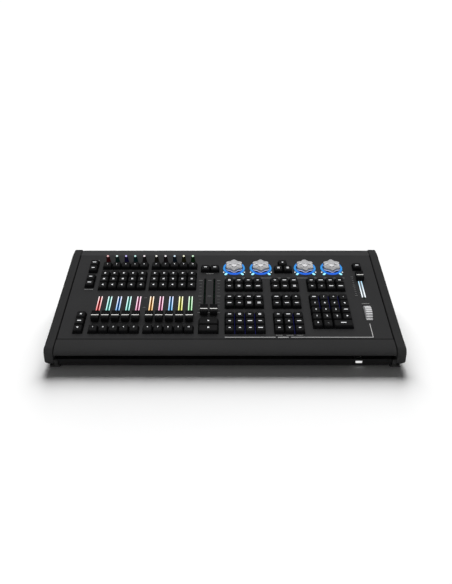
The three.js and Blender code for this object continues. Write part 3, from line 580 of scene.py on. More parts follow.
# Legends by bank, front row first. Only digits and plain signs are lettering.
LEGENDS = {
    "page_keys": ["v", "-7", "^", "-7", "-6", "-6", "-7"],
    "flash_keys_left": ["1 2 3 4 5"],
    "flash_keys_right": ["6 7 8 9 10"],
    "playback_keys_left": ["< < < < <", "| | | | |", "> > > > >", "1 2 3 4 5"],
    "playback_keys_right": ["< < < < <", "| | | | |", "> > > > >", "6 7 8 9 10"],
    "master_keys_top": ["-5.5 -5.5"],
    "master_keys_bottom": ["|", ">"],
    "encoder_keys": ["=5 =5", "o"],
    "programmer_keys_left": [
        "-4 -4 -5 -10", "-4.5 -6.5 -8.5 -6", "-6 =5 -5 =5", "-7 -5 =7 =6", "-6 -5 -7 -7",
        "-5 =5 -8 -8", "=5 -6 -5 -4",
    ],
    "programmer_keys_middle": [
        "-4.5 v -4.5", "-5.5 ^ -7.5", "-4.5 -7 -5.5", "-5 -7.5 -6.5", "-7.5 -4 -3.5",
        "-6 -6.5 =5.5", "-4 -7 -6.5",
    ],
    "programmer_keys_right": [
        "0 . -10", "1 2 3 o", "4 5 6 -7", "7 8 9 <", "-7 / + -", "-4 -3 -8 -9", "-5.5 -8.5 -6 -5",
    ],
    "shift_key": ["-6.5"],
}


SELECT_ROW_Y = 200  # the playback keys behind this y are the row in front of the knobs


def legend_style(node, y):
    """(size, distance behind the key's middle) of the legends in a row of keys."""
    if node.startswith("flash"):
        return 0.95, 1.6
    if node.startswith("playback"):
        return (0.9, 0.8) if y > SELECT_ROW_Y else (1.3, 0.3)
    return 1.2, 0.3


def key_bank(node):
    caps = Solid()
    marks = Solid()
    for row, codes in zip(key_rows(node), LEGENDS[node]):
        size, behind = legend_style(node, row[0][1])
        for (x, y, width, length), code in zip(row, codes.split()):
            keycap(caps, x, y, width, length)
            add_legend(marks, code, x, y + behind, lambda px, py, at=y: dish_height(py - at), size)
    piece(f"{node}_caps", caps, [KEY_SIDE_SHADED, KEY_TOP_LIT], node, DECK, [node])
    piece(f"{node}_legends", marks, [LEGEND], node, DECK)


def key_glow():
    """Blue light showing in the gaps between some columns of keys."""
    glow = Solid()
    half, reach = 0.32, 8.6
    for node, first, last, columns in (
        ("programmer_keys_left", 0, 2, (0, 1, 2)),
        ("programmer_keys_middle", 0, 2, (1,)),
        ("programmer_keys_right", 3, 4, (0, 1, 2)),
    ):
        rows = key_rows(node)
        front, back = rows[first], rows[last]
        for column in columns:
            x = (front[column][0] + front[column + 1][0]) / 2
            glow.box((x - half, front[0][1] - reach, -1.5), (x + half, back[0][1] + reach, 1.2))
    piece("key_gap_glow", glow, [KEY_GLOW], "root", DECK)


# ---- Faders ----
# Heights of a fader cap's parts, and the y of its raised middle band's edges.
CAP_BOTTOM, CAP_SHOULDER, CAP_SCOOP, CAP_BAND = 2.6, 12.7, 11.0, 11.5
BAND_FRONT, BAND_BACK = -2.2, 2.6
CAP_LINE_Y = -1.4  # the line is at the front of the middle band
CAP_LINE_HALF = 0.68


def cap_outline(half):
    """Side view of a fader cap, in (y, z): two finger scoops either side of a raised middle band."""
    steps = 7

    def side(sign, band_edge):
        points = [(half, CAP_BOTTOM), (half - 0.3, 6.0), (half - 0.9, CAP_SHOULDER - 0.8)]
        points.append((half - 1.5, CAP_SHOULDER))
        start, end = half - 1.9, band_edge + 0.5
        for step in range(steps + 1):
            share = step / steps
            drop = (CAP_SHOULDER - CAP_SCOOP) * math.sin(share * math.pi / 2)
            points.append((start + (end - start) * share, CAP_SHOULDER - drop))
        points.append((band_edge, CAP_BAND))
        return [(sign * y, z) for y, z in points]

    return side(1, BAND_BACK) + side(-1, -BAND_FRONT)[::-1]


def fader(node):
    low, high = deck_box(node)
    half_width = (high.x - low.x) / 2
    solid = Solid()
    slab(solid, cap_outline((high.y - low.y) / 2), -half_width, half_width, (0.6, 0.6), steps=3)
    solid.box((-0.6, -4, low.z), (0.6, 4, CAP_BOTTOM + 0.5), 2)
    line = half_width - 0.35
    line_front, line_back = CAP_LINE_Y - CAP_LINE_HALF, CAP_LINE_Y + CAP_LINE_HALF
    solid.box((-line, line_front, CAP_BAND - 0.4), (line, line_back, CAP_BAND + 0.08), 1)
    place = on_deck(*deck_middle(node))
    piece(f"{node}_cap", solid, [CAP_PLASTIC, CAP_LINE, STEEL], node, place, [node])


CYAN_LINE = ((0.30, 0.82, 0.74), (0.78, 1.0, 1.0))
PINK_LINE = ((0.86, 0.34, 0.56), (1.0, 0.80, 0.90))
LINE_COLOURS = [  # (slot, colour at the front, colour at the back) from left to right
    ("light_red", (0.86, 0.07, 0.07), (1.0, 0.86, 0.86)),
    ("light_cyan", *CYAN_LINE),
    ("light_blue", (0.13, 0.45, 0.86), (0.85, 0.87, 1.0)),
    ("light_cyan", *CYAN_LINE),
    ("light_pink", *PINK_LINE),
    ("light_orange", (0.92, 0.52, 0.12), (1.0, 0.93, 0.78)),
    ("light_pink", *PINK_LINE),
    ("light_blue", (0.12, 0.56, 0.90), (0.80, 0.80, 1.0)),
    ("light_yellow", (0.80, 0.80, 0.10), (1.0, 1.0, 0.75)),
    ("light_green", (0.34, 0.74, 0.36), (0.85, 1.0, 0.84)),
]
LINE_OFFSET = 2.95  # mm from a slot's middle to the middle of each light line
LINE_WIDTH = 1.7
CAP_COVER = 18  # mm of the lines' front end that a cap at rest hides


def deepened(color):
    """A darker and more saturated tone of a light's colour."""
    return tuple(0.4 * channel**1.8 for channel in color)


def slot_light(name, x, y0, y1, front, back):
    """Two light lines beside a fader slot, and the dimmer light that shows inside it."""
    shown = y0 + CAP_COVER
    bright = graded(f"{name}_line", front, back, shown, y1, 1.35)
    deep = graded(f"{name}_deep", deepened(front), deepened(front), shown, y1, 1.0)
    solid = Solid()
    for side in (-1, 1):
        outline = rounded_rect(x + side * LINE_OFFSET, (y0 + y1) / 2, LINE_WIDTH, y1 - y0, 0.4, 3)
        solid.prism(outline, -0.3, 0.1)
        inner = beside(x, side, 1.32, 2.08)
        solid.box((inner[0], y0 + 0.5, -0.3), (inner[1], y1 - 0.5, 0.06), 1)
        wall = beside(x, side, 0.85, 1.28)
        solid.box((wall[0], y0 + 3, -1.8), (wall[1], y1 - 3, -0.35), 1)
    piece(f"{name}_light", solid, [bright, deep], "root", DECK)


def slot_frame(name, x, y0, y1):
    """The dark gasket in a fader slot without light."""
    solid = Solid()
    for side in (-1, 1):
        rim = beside(x, side, 1.0, 2.2)
        solid.box((rim[0], y0, 0.01), (rim[1], y1, 0.08))
        lip = beside(x, side, 0.65, 1.28)
        solid.box((lip[0], y0 + 0.4, -1.8), (lip[1], y1 - 0.4, 0.05))
    piece(f"{name}_slot_brush", solid, [SHADE_AND_GASKET_BLACK], "root", DECK)


# ---- Knobs and wheels ----
KNOB_TINTS = [  # (slot, colour of the lit top, tint of the stem) from left to right
    ("light_red", (0.95, 0.55, 0.55), (0.10, 0.0, 0.004)),
    ("light_cyan", (0.80, 0.98, 0.95), (0.0, 0.035, 0.03)),
    ("light_blue", (0.62, 0.55, 1.0), (0.012, 0.006, 0.10)),
    ("light_cyan", (0.62, 0.95, 0.92), (0.0, 0.04, 0.045)),
    ("light_white", (0.98, 0.90, 0.93), (0.02, 0.016, 0.017)),
    ("light_white", (0.98, 0.97, 0.90), (0.022, 0.02, 0.012)),
    ("light_white", (0.97, 0.92, 0.94), (0.02, 0.012, 0.016)),
    ("light_blue", (0.72, 0.88, 1.0), (0.002, 0.02, 0.04)),
    ("light_yellow", (0.97, 0.97, 0.75), (0.03, 0.03, 0.002)),
    ("light_green", (0.72, 1.0, 0.72), (0.002, 0.05, 0.004)),
]
STEM_TINT = 0.15  # share of a knob's tint that shows on its stem
GRIP_DEPTH = 0.22


def rotary_knob(index):
    """A flared knob with fine grips, a tinted stem and a lit top."""
    node = f"rotary_knob_{index + 1}"
    low, high = deck_box(node)
    slot, bright, tint = KNOB_TINTS[index]
    crown = glowing(f"{node}_top", scaled(bright, 0.9), bright, 1.0, grain=900)
    dim = scaled(tint, STEM_TINT)
    stem = glowing(f"{node}_stem", scaled(dim, 0.7), dim, 1.0, grain=700, base=grey(0.006))
    top = high.z
    profile = [
        (2.9, low.z), (2.9, 0.7), (5.0, 0.7), (5.2, 1.0), (5.2, 3.6), (4.9, 4.6), (4.3, 5.6),
        (4.0, 9.0), (3.7, 13.0), (3.6, 16.2), (3.3, 16.9), (2.1, 17.0), (2.05, 17.5), (1.8, top - 0.15),
        (1.0, top), (0.2, top),
    ]
    bands = [0] * 5 + [1] * 5 + [0] + [2] * 4
    solid = Solid()
    rings = []
    for radius, z in profile:
        groove = GRIP_DEPTH if radius > 3.5 and 0.9 < z < 4.5 else 0
        rings.append(ring_of(lambda step, _: radius - (groove if step % 3 == 0 else 0), z, 36))
    solid.stack(rings, band_slots=bands, cap_slots=(0, 2))
    solid.box((-0.35, -5.3, 1.2), (0.35, -4.4, 4.4), 3)
    place = at_joint(f"{node}_turn")
    piece(f"{node}_shell", solid, [KNOB_PLASTIC, stem, crown, PRINT_GREY], node, place, [node])


LOBES = 6
RIDGE_ENDS = (6.6, 5.4), (16.0, -2.0)  # (x, y) of the inner and outer end of a wheel's right ridge


def lobed(radius, depth, z):
    """A ring with six lobes, one of them pointing at the operator."""
    return ring_of(lambda _, angle: radius - depth * (1 + math.cos(LOBES * angle)) / 2, z, 96)


def encoder_wheel(number, ring_light, rim_reflection):
    """A flat silver wheel with six finger lobes, a hollow top with two ridges, and a small middle cap."""
    node = f"encoder_wheel_{number}"
    low, high = deck_box(node)
    top = high.z
    base = 2.55
    tip = (high.y - low.y) / 2
    levels = [
        (3.0, 0, low.z), (3.0, 0, base), (tip - 1.2, 3.0, base), (tip - 0.5, 3.2, base + 0.6),
        (tip - 0.1, 3.4, base + 2.2), (tip - 0.1, 3.4, top - 2.0), (tip - 0.6, 3.4, top - 0.7),
        (tip - 1.5, 3.3, top - 0.12), (tip - 2.4, 3.0, top - 0.05), (tip - 3.4, 2.6, top - 0.35),
        (tip - 6.0, 1.8, top - 1.2), (9.0, 0.9, top - 2.0), (6.6, 0.2, top - 2.4), (5.8, 0, top - 2.4),
        (5.3, 0, top - 1.4), (3.8, 0, top - 0.8), (1.4, 0, top - 0.6),
    ]
    solid = Solid()
    rings = [lobed(*level) for level in levels]
    # the lower outer rim (slot 2) glows: a painted reflection of the blue ring light
    solid.stack(rings, band_slots=[1, 1, 2, 2] + [0] * 9 + [1] * 3, cap_slots=(1, 1))
    for side in (-1, 1):
        inner, outer = (Vector((side * x, y)) for x, y in RIDGE_ENDS)
        across = (outer - inner).normalized().orthogonal()
        rings = []
        for half, z in ((1.2, top - 2.6), (0.9, top - 0.1), (0.5, top)):
            shift = across * half
            corners = [inner - shift, inner + shift, outer + shift, outer - shift]
            rings.append([(corner.x, corner.y, z) for corner in corners])
        # the ridges take the lighter silver: a painted highlight
        solid.stack(rings, 3)
    place = at_joint(f"{node}_turn")
    materials = [WHEEL_SILVER, STEEL, rim_reflection, SILVER_AND_RIDGE_HIGHLIGHT]
    piece(f"{node}_knob", solid, materials, node, place, [node])

    glow = Solid()
    profile = [(18.7, 0.2), (18.6, 1.9), (19.2, 2.3), (20.4, 2.3), (21.6, 1.9), (22.4, 1.2), (22.7, 0.2)]
    rings = [[(x, y, z) for x, y in circle(0, 0, radius, 64)] for radius, z in profile]
    glow.stack(rings + [rings[0]], caps=(False, False))
    piece(f"{node}_ring_light", glow, [ring_light], "root", place)

    lamps = Solid()
    for side in (-1, 1):
        lean = Matrix.Rotation(math.radians(-48 * side), 2)
        outline = [Vector(p) for p in rounded_rect(0, 0, 7.2, 4.2, 2.0, 6)]
        pill = [lean @ p + Vector((side * 16.8, -20.0)) for p in outline]
        lamps.prism(pill, -0.2, 0.6)
        lamps.prism(circle(side * 21.4, -13.6, 1.4, 12), -0.2, 0.35, 1)
    piece(f"{node}_lamps", lamps, [PILL_CYAN, DOT_WHITE], "root", place)


def ring_glow():
    """Blue light that is violet at the front and paler at the sides."""
    material, tree, principled = shader("encoder_ring", (0.0, 0.01, 0.03), 0.4)
    size = tree.nodes.new("ShaderNodeMath")
    size.operation = "ABSOLUTE"
    tree.links.new(place_on(tree, "X"), size.inputs[0])
    share = mapped(tree, size.outputs["Value"], 0, 22.6 * MM)
    stops = [(0, (0.03, 0.14, 0.86)), (0.55, (0.03, 0.18, 0.80)), (1, (0.05, 0.36, 0.84))]
    lit(tree, principled, ramp(tree, share, stops), 1.0)
    return material


# A rib's outline on the thumb wheel: (share of the way round to the next rib, mm under the wheel's radius).
RIB = ((0.0, 1.1), (0.12, 1.0), (0.22, 0.15), (0.32, 0.0), (0.68, 0.0), (0.78, 0.15), (0.88, 1.0))


def thumb_wheel():
    """A ribbed drum on a cross axle."""
    low, high = deck_box("thumb_wheel")
    axle = TO_DECK @ joint_point("thumb_wheel_turn") / MM
    radius = (high.y - low.y) / 2
    ribs = 30
    outline = []
    for rib in range(ribs):
        for share, drop in RIB:
            angle = 2 * math.pi * (rib + share) / ribs
            reach = radius - drop
            outline.append((reach * math.cos(angle), reach * math.sin(angle)))
    solid = Solid()
    slab(solid, outline, -6.25, 6.25, (0.7, 0.7), steps=2)
    # painted shade: a dark core shows in the grooves between the ribs
    slab(solid, circle(0, 0, radius - 0.85, 96), -5.9, 5.9, (0, 0), slot=2)
    axle_half = (high.x - low.x) / 2
    for side in (-1, 1):
        reach = beside(0, side, 6.0, axle_half)
        solid.stack([[(x, y, z) for y, z in circle(0, 0, 2.0, 16)] for x in reach], 1)
    materials = [SILVER_AND_RIDGE_HIGHLIGHT, STEEL, RIB_GAP_PAINTED_SHADE]
    place = on_deck(axle.x, axle.y, axle.z)
    piece("thumb_wheel_drum", solid, materials, "thumb_wheel", place, ["thumb_wheel"])


# ---- Housing ----
def row_point(y, z):
    """(y, z) in the row frame, in mm, of a point of the deck's frame."""
    point = DECK @ (Vector((0, y, z)) * MM) / MM
    return point.y, point.z


def cheek_outline():
    """Side view of a cheek: it stands a little proud of the deck and follows its bends."""
    low, high = in_mm(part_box("right_cheek"))
    front, back, base, top = low.y, high.y, low.z, high.z
    proud = top - row_point(FOLD_Y, 0)[1]
    chamfer, front_radius, back_radius = 6, 12, 4
    front_top = 37.6
    points = [(front + chamfer, base), (back - chamfer, base), (back, base + chamfer)]
    points += arc(back - back_radius, top - back_radius, back_radius, 0, 90, 8)
    fold_y = row_point(FOLD_Y, 0)[0]
    bend_y, bend_z = row_point(0, proud)
    points += [(fold_y + 6, top), (fold_y, top - 0.15), (fold_y - 6, top - 1.0 - 0.35)]
    points += [(bend_y + 8, bend_z + 1.52), (bend_y, bend_z + 0.1), (bend_y - 8, bend_z - 1.25)]
    points += arc(front + front_radius, front_top - front_radius, front_radius, 90, 180, 12)
    points += [(front, base + chamfer + 8), (front, base + chamfer)]
    return points


UNDERCUT_WIDTH, UNDERCUT_HEIGHT = 8, 9  # mm, the chamfer along a cheek's outer bottom edge


def cheeks():
    low, high = in_mm(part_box("right_cheek"))
    solid = Solid()
    slab(solid, cheek_outline(), low.x, high.x, (1.0, 2.8), steps=5)
    for name, shape, side in (("right_cheek", solid, 1), ("left_cheek", mirrored(solid), -1)):
        made = piece(f"{name}_shell", shape, [CHEEK_PLASTIC], "root", ROW, [name], 30)
        trim_underside(made, side, Vector((side * (high.x - UNDERCUT_WIDTH), 0, low.z)) * MM)


def trim_underside(made, side, start):
    """Cuts the chamfer along a cheek's outer bottom edge. start is a point where it meets the underside."""
    cut = bmesh.new()
    cut.from_mesh(made.data)
    normal = Vector((side * UNDERCUT_HEIGHT, 0, -UNDERCUT_WIDTH)).normalized()
    geometry = cut.verts[:] + cut.edges[:] + cut.faces[:]
    found = bmesh.ops.bisect_plane(cut, geom=geometry, plane_co=start, plane_no=normal, clear_outer=True)
    edges = [item for item in found["geom_cut"] if isinstance(item, bmesh.types.BMEdge)]
    bmesh.ops.contextual_create(cut, geom=edges)
    bmesh.ops.recalc_face_normals(cut, faces=cut.faces)
    cut.to_mesh(made.data)
    cut.free()
    made.data.set_sharp_from_angle(angle=math.radians(30))


def palm_rest():
    """A C-shaped section whose top curves down to the front, a little narrower than the gap it fills."""
    low, high = in_mm(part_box("palm_rest"))
    front, back, lip, top = low.y, high.y, low.z, high.z
    skin, lip_depth, curl, seam = 3, 13, 6.5, 1.2
    nose = lip + 5
    depth, rise = back - front, top - nose
    outline = [(front + lip_depth, lip), (front + lip_depth, lip + skin), (front + 6, lip + skin)]
    outline += arc(back, nose, depth - skin, 180, 90, 12, rise - skin)
    outline += [(back, top - 0.6)]
    outline += arc(back, nose, depth, 92, 180, 24, rise)
    outline += arc(front + curl, nose, curl, 190, 270, 8, nose - lip)
    solid = Solid()
    slab(solid, outline, low.x + seam, high.x - seam, (0, 0))
    piece("palm_rest_cover", solid, [PALM_PAINT], "root", ROW, ["palm_rest"], 40)


def seam_shade():
    """Painted shade: black strips laid in the joints between the deck, the palm rest and the cheeks, where
    the gaps fall into shadow.
    """
    low, high = deck_box("top_panel")
    solid = Solid()
    solid.box((low.x + 0.1, low.y - 0.6, -1.6), (high.x - 0.1, low.y + 0.35, 0.05))
    for side in (-1, 1):
        edge = beside(0, side, high.x - 1.4, high.x)
        solid.box((edge[0], low.y, -0.4), (edge[1], FOLD_Y, 0.05))
    piece("deck_seam_shade", solid, [SHADE_AND_GASKET_BLACK], "root", DECK)


def paint_light_on_back_strip(material):
    """Paints light on the deck behind the fold: the paint is made lighter there, standing in for the light
    that falls more fully on the flat strip.
    """
    tree = material.node_tree
    paint = tree.nodes["Principled BSDF"].inputs["Base Color"]
    mottle = paint.links[0].from_socket
    fold, blur = row_point(FOLD_Y, 0)[0] * MM, 0.3 * MM
    tone = mapped(tree, place_on(tree, "Y"), fold - blur, fold + blur, 1.0, STRIP_PAINTED_LIGHT)
    scale = tree.nodes.new("ShaderNodeVectorMath")
    scale.operation = "SCALE"
    tree.links.new(mottle, scale.inputs[0])
    tree.links.new(tone, scale.inputs["Scale"])
    tree.links.new(scale.outputs["Vector"], paint)


def finish_cad(node, material, bevel=0.0):
    """Gives a CAD node its material, and softens its edges by bevel mm."""
    node_object = frame["nodes"][node]
    node_object.data.materials.clear()
    node_object.data.materials.append(material)
    if bevel:
        rounding = node_object.modifiers.new("edges", "BEVEL")
        rounding.width = bevel * MM
        rounding.segments = 2
        rounding.limit_method = "ANGLE"
        rounding.angle_limit = math.radians(40)
        rounding.use_clamp_overlap = True


def printed(name, bars, material):
    """Thin printed bars on the deck, each (x0, x1, y0, y1)."""
    solid = Solid()
    for x0, x1, y0, y1 in bars:
        solid.box((x0, y0, -0.05), (x1, y1, 0.05))
    piece(name, solid, [material], "root", DECK)


def deck_print():
    """Frame lines, fader scales and small unreadable captions."""
    line = 1.0
    left, right = -0.5, 272.5
    frame_y = -1.0
    lines = [
        (left, 93, frame_y, frame_y + line),
        (97, 117, frame_y - 0.2, frame_y + line + 0.2),
        (121, right, frame_y, frame_y + line),
        (right - line, right, frame_y, 37),
    ]
    printed("frame_lines", lines, PRINT_WHITE)
    greys = [(left, 244.5, 176.6, 177.5)]
    rng = random.Random(7)

    def caption(x, y, width, height=1.5):
        start = x - width / 2
        while start < x + width / 2 - 0.8:
            word = min(rng.uniform(1.2, 3.4), x + width / 2 - start)
            greys.append((start, start + word, y - height / 2, y + height / 2))
            start += word + 0.5

    for column in key_rows("programmer_keys_middle")[0]:
        caption(column[0], 4.7, 13)
    left_column = key_rows("page_keys")[3][0][0]
    caption(left_column, 237.5, 15)
    caption(left_column, 139.7, 17)
    master_x = (deck_middle("master_fader_left")[0] + deck_middle("master_fader_right")[0]) / 2
    caption(master_x, 191.5, 16)
    caption(deck_middle("thumb_wheel")[0], 95.5, 15)
    majors, minors = master_scale(master_x)
    printed("deck_captions", greys, PRINT_GREY)
    printed("fader_scales", majors + crossfader_scale() + playback_scale(), PRINT_GREY)
    printed("fader_scale_steps", minors, PRINT_DIM)


def master_scale(x):
    """Tick marks on both sides of the master faders and between them: long ones, and the steps between."""
    ticks = {True: [], False: []}
    start = deck_middle("master_fader_left")[1]
    for step in range(11):
        y = start + 10 * step
        long = step in (0, 5, 10)
        reach = 3.6 if long else 2.4
        for centre in (x - 18.2, x, x + 18.2):
            if long or centre != x:
                ticks[long].append((centre - reach, centre + reach, y - 0.3, y + 0.3))
    return ticks[True], ticks[False]


def crossfader_scale():
    """Eleven tick marks on the left, and one on the right of the back end."""
    x, rest = deck_middle("crossfader")
    back, half = rest + 6, 0.28
    ticks = []
    for step in range(11):
        y = back - 6 * step
        reach = 2.6 if step in (0, 5, 10) else 1.5
        ticks.append((x - 14 - reach, x - 14 + reach, y - half, y + half))
    ticks.append((x + 9, x + 11.5, back - half, back + half))
    return ticks


def playback_scale():
    """The two tick marks between the two groups of playback faders."""
    middle = (deck_box("playback_fader_5")[1].x + deck_box("playback_fader_6")[0].x) / 2
    return [(middle - 2.6, middle + 2.6, y - 0.3, y + 0.3) for y in (84, 113.5)]


def screw(solid, x, y, z, place, radius=3.0):
    """A button-head screw with a hexagonal socket. place maps (x, y, height) to a point."""
    profile = [(radius, 0), (radius, 0.5), (radius * 0.88, 1.0), (radius * 0.6, 1.25), (radius * 0.46, 1.25)]
    rings = [[place(x + px, y + py, z + h) for px, py in circle(0, 0, r, 24)] for r, h in profile]
    solid.stack(rings, caps=(True, False))
    hexagon = circle(0, 0, radius * 0.46, 6)
    socket = []
    for step in range(24):
        share = step % 4 / 4
        a, b = Vector(hexagon[step // 4]), Vector(hexagon[(step // 4 + 1) % 6])
        socket.append(a.lerp(b, share))
    rim = rings[-1]
    inner = [place(x + p.x, y + p.y, z + 1.2) for p in socket]
    floor = [place(x + p.x, y + p.y, z + 0.35) for p in socket]
    solid.stack([rim, inner, floor], band_slots=(0, 1), caps=(False, True), cap_slots=(0, 1))


def rear_details():
    """Screws along the rear panel and underneath, and the fittings in the sockets."""
    low, high = in_mm(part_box("rear_panel"))

    def out_back(a, b, height):
        return (a, high.y + height, b)

    screws = Solid()
    for step in range(6):
        x = low.x + 9 + (high.x - low.x - 18) * step / 5
        for z in (low.z + 7, high.z - 6):
            screw(screws, x, z, 0, out_back)
    piece("rear_screws", screws, [STEEL, SOCKET_PLASTIC], "root")

    tray_low, tray_high = in_mm(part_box("base_tray"))

    def out_below(a, b, height):
        return (a, b, tray_low.z - height)

    under = Solid()
    for x in (-250, -125, 0, 125, 250):
        for y in (tray_low.y + 14, tray_high.y - 14):
            screw(under, x, y, 0, out_below)
    piece("underside_screws", under, [STEEL, SOCKET_PLASTIC], "root")

    inlet_low, inlet_high = in_mm(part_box("power_inlet"))
    inlet_x = (inlet_low.x + inlet_high.x) / 2
    inlet_z = (inlet_low.z + inlet_high.z) / 2
    blades = Solid()
    for dx, dz, tip in ((0, 4, 2.4), (-7, -2, 3.4), (7, -2, 3.4)):
        x, z = inlet_x + dx, inlet_z - 11 + dz
        blades.box((x - 1.08, inlet_high.y - 16.6, z - 2.08), (x + 1.08, inlet_high.y - tip + 0.5, z + 2.08))
    piece("inlet_blades", blades, [STEEL], "root")

    fittings, inserts = Solid(), Solid()
    for node in ("dmx_socket_1", "dmx_socket_2"):
        socket_low, socket_high = in_mm(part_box(node))
        x, z = (socket_low.x + socket_high.x) / 2, (socket_low.z + socket_high.z) / 2
        face = socket_high.y

        def out_socket(a, b, height, back=face):
            return (a, back + height, b)

        for dx, dz in ((-10, 12.5), (10, -12.5)):
            screw(fittings, x + dx, z + dz, -0.9, out_socket, 1.9)
        for pin in range(5):
            angle = math.radians(90 + 60 * (pin - 2))
            px, pz = x + 4.4 * math.cos(angle), z - 4.4 * math.sin(angle)
            ring = circle(px, pz, 1.15, 16)
            fittings.stack(across_y([(ring, face - 0.9), (ring, face - 0.52)]), 1)
        profile = [(7.5, face - 13.5), (7.5, face - 1.1), (7.1, face - 0.6), (0.3, face - 0.55)]
        inserts.stack(across_y((circle(x, z, radius, 32), y) for radius, y in profile))
    piece("dmx_socket_fittings", fittings, [STEEL, SOCKET_PLASTIC], "root")
    piece("dmx_socket_inserts", inserts, [SOCKET_PLASTIC], "root")

    jack_low, jack_high = in_mm(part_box("network_socket"))
    contacts = Solid()
    middle = (jack_low.x + jack_high.x) / 2
    for pin in range(8):
        x = middle + (pin - 3.5) * 1.02
        base = jack_high.z - 4.0
        contacts.box((x - 0.22, jack_high.y - 10, base - 0.7), (x + 0.22, jack_high.y - 1.6, base - 0.35))
    piece("network_contacts", contacts, [GOLD], "root")


def rocker():
    """The power switch's rocker, with the usual on and off marks moulded in it."""
    low, high = in_mm(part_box("power_switch"))
    pivot = joint_point("power_switch_rock") / MM
    half_width = (high.x - low.x) / 2
    face = [(-7.0, 3.8), (-6.6, 3.75), (-3.4, 2.9), (0, 2.4), (3.4, 2.9), (6.6, 3.75), (7.0, 3.8)]
    outline = [(y, z) for z, y in face] + [(-5, 5), (-5, -5)]
    solid = Solid()
    slab(solid, outline[::-1], -half_width, half_width, (0.4, 0.4), steps=2)
    solid.box((-0.5, 3.05, 3.2), (0.5, 3.7, 5.8), 1)
    outer = circle(0, -4.5, 1.7, 20)
    inner = circle(0, -4.5, 1.1, 20)
    levels = [(outer, 3.1), (outer, 3.5), (inner, 3.5), (inner, 3.1), (outer, 3.1)]
    solid.stack(across_y(levels), 1, caps=(False, False))
    place = Matrix.Translation(pivot * MM) @ Matrix.Rotation(math.radians(8), 4, "X")
    materials = [SOCKET_PLASTIC, PRINT_GREY]
    piece("power_switch_rocker", solid, materials, "power_switch", place, ["power_switch"])


def usb_port():
    """A metal shell with a white tongue and gold contacts, in the tray's front wall."""
    low, high = in_mm(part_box("usb_port"))
    x, z = (low.x + high.x) / 2, (low.z + high.z) / 2
    width, height = high.x - low.x, high.z - low.z
    shell = Solid()
    outer = rounded_rect(x, z, width, height, 0.6, 3)
    inner = rounded_rect(x, z, width - 1.0, height - 1.0, 0.4, 3)
    rim = [(outer, high.y), (outer, low.y + 0.2), (inset(outer, 0.15), low.y)]
    shell.stack(across_y(rim + [(inner, low.y), (inner, high.y - 2)]))
    piece("usb_port_shell", shell, [STEEL], "root", ROW, ["usb_port"])
    tongue = Solid()
    face = rounded_rect(x, z - 0.2, 11.6, 3.8, 1.2, 4)
    tongue.stack(across_y([(face, low.y + 0.5), (face, high.y - 2.2)]))
    for pin in range(4):
        px = x + (pin - 1.5) * 2.4
        tongue.box((px - 0.5, low.y + 1.6, z - 2.15), (px + 0.5, high.y - 3, z - 2.0), 1)
    piece("usb_port_tongue", tongue, [SOCKET_WHITE, GOLD], "root", ROW)


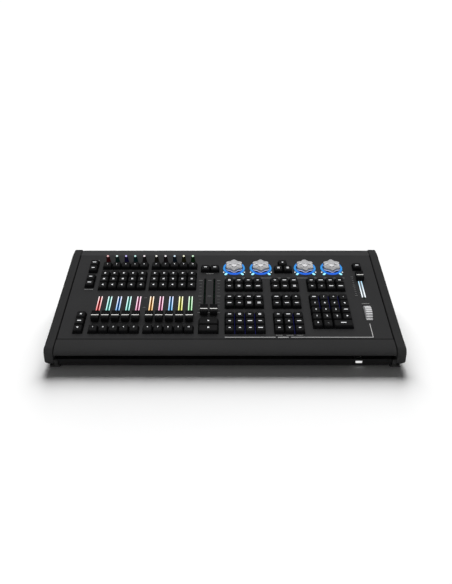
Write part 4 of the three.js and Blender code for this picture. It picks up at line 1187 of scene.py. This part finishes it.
# ---- Assembly ----
def build_desk():
    for material, bevel, nodes in (
        (DECK_PAINT, 0, ["top_panel"]),
        (TRAY_PAINT, 0, ["base_tray", "rear_panel"]),
        (FOOT_RUBBER, 0.8, ["foot_front_left", "foot_front_right", "foot_rear_left", "foot_rear_right"]),
        (SOCKET_PLASTIC, 0, ["power_inlet", "network_socket"]),
        (STEEL, 0, ["dmx_socket_1", "dmx_socket_2"]),
        (CASING, 0.5, ["power_supply"]),
        (BOARD_GREEN, 0, ["processor_board", "playback_board", "programmer_board"]),
    ):
        for node in nodes:
            finish_cad(node, material, bevel)
    paint_light_on_back_strip(DECK_PAINT)
    cheeks()
    palm_rest()
    seam_shade()
    for node in LEGENDS:
        key_bank(node)
    key_glow()
    for node, (slot, front, back) in zip(FADER_NAMES, LINE_COLOURS):
        fader(node)
        x, rest = deck_middle(node)
        slot_light(node, x, rest - 6, rest + 67, front, back)
    for node in ("master_fader_left", "master_fader_right"):
        fader(node)
        x, rest = deck_middle(node)
        slot_frame(node, x, rest - 6, rest + 106)
    fader("crossfader")
    x, rest = deck_middle("crossfader")
    slot_light("crossfader", x, rest - 60, rest + 7, (0.90, 0.96, 1.0), (0.10, 0.50, 0.80))
    for index in range(len(KNOB_TINTS)):
        rotary_knob(index)
    ring_light = ring_glow()
    # painted reflection: the wheels' lower rims glow with the blue of the ring lights
    rim_reflection = glowing("wheel_rim_reflection", (0.42, 0.46, 0.80), (0.60, 0.64, 0.92), 1.0, grain=500)
    for number in range(1, 5):
        encoder_wheel(number, ring_light, rim_reflection)
    thumb_wheel()
    deck_print()
    rocker()
    usb_port()
    rear_details()


# ---- Stage ----
def stage():
    """A white floor, and soft light from above, behind and in front. Returns the desk lights' collection."""
    bpy.ops.mesh.primitive_plane_add(size=60, location=(0, 0, 0))
    floor = bpy.context.object
    floor.name = "studio_floor"
    paper, _, principled = shader("studio_paper", grey(0.93), 0.9)
    principled.inputs["Specular IOR Level"].default_value = 0.0
    floor.data.materials.append(paper)

    world = bpy.data.worlds.new("studio")
    bpy.context.scene.world = world
    world.use_nodes = True
    background = world.node_tree.nodes["Background"]
    background.inputs["Color"].default_value = (1, 1, 1, 1)
    background.inputs["Strength"].default_value = 0.05

    paper_only = bpy.data.collections.new("paper_only")
    paper_only.objects.link(floor)
    desk_only = bpy.data.collections.new("desk_only")
    for name, elevation, softness, energy, receivers in (
        ("back_light", 25.5, 40, 7.7, paper_only),
        ("overhead_light", 60, 100, 0.1, paper_only),
        ("top_light", 66, 80, 2.4, desk_only),
        ("front_fill", 155, 40, 0.8, desk_only),
    ):
        sun = bpy.data.lights.new(name, "SUN")
        sun.energy = energy
        sun.angle = math.radians(softness)
        lamp = bpy.data.objects.new(name, sun)
        lamp.rotation_euler = (math.radians(elevation - 90), 0, 0)
        bpy.context.scene.collection.objects.link(lamp)
        lamp.light_linking.receiver_collection = receivers

    bpy.context.scene.view_settings.view_transform = "Standard"
    return desk_only


def camera():
    """The camera in front of the desk, looking down at it."""
    lens = bpy.data.cameras.new("photo_camera")
    lens.lens = 40.1
    lens.sensor_width = 36
    lens.clip_end = 200
    view = bpy.data.objects.new("photo_camera", lens)
    distance_back = 976.6
    view.location = Vector((1.7, cad_low.y / MM - distance_back, 672.9)) * MM
    view.rotation_euler = (math.radians(90 - 27.99), 0, 0)
    bpy.context.scene.collection.objects.link(view)
    bpy.context.scene.camera = view


desk_only = stage()
camera()
build_desk()
for thing in bpy.context.scene.objects:
    if thing.type == "MESH" and thing.name != "studio_floor":
        desk_only.objects.link(thing)

bpy.context.view_layer.update()
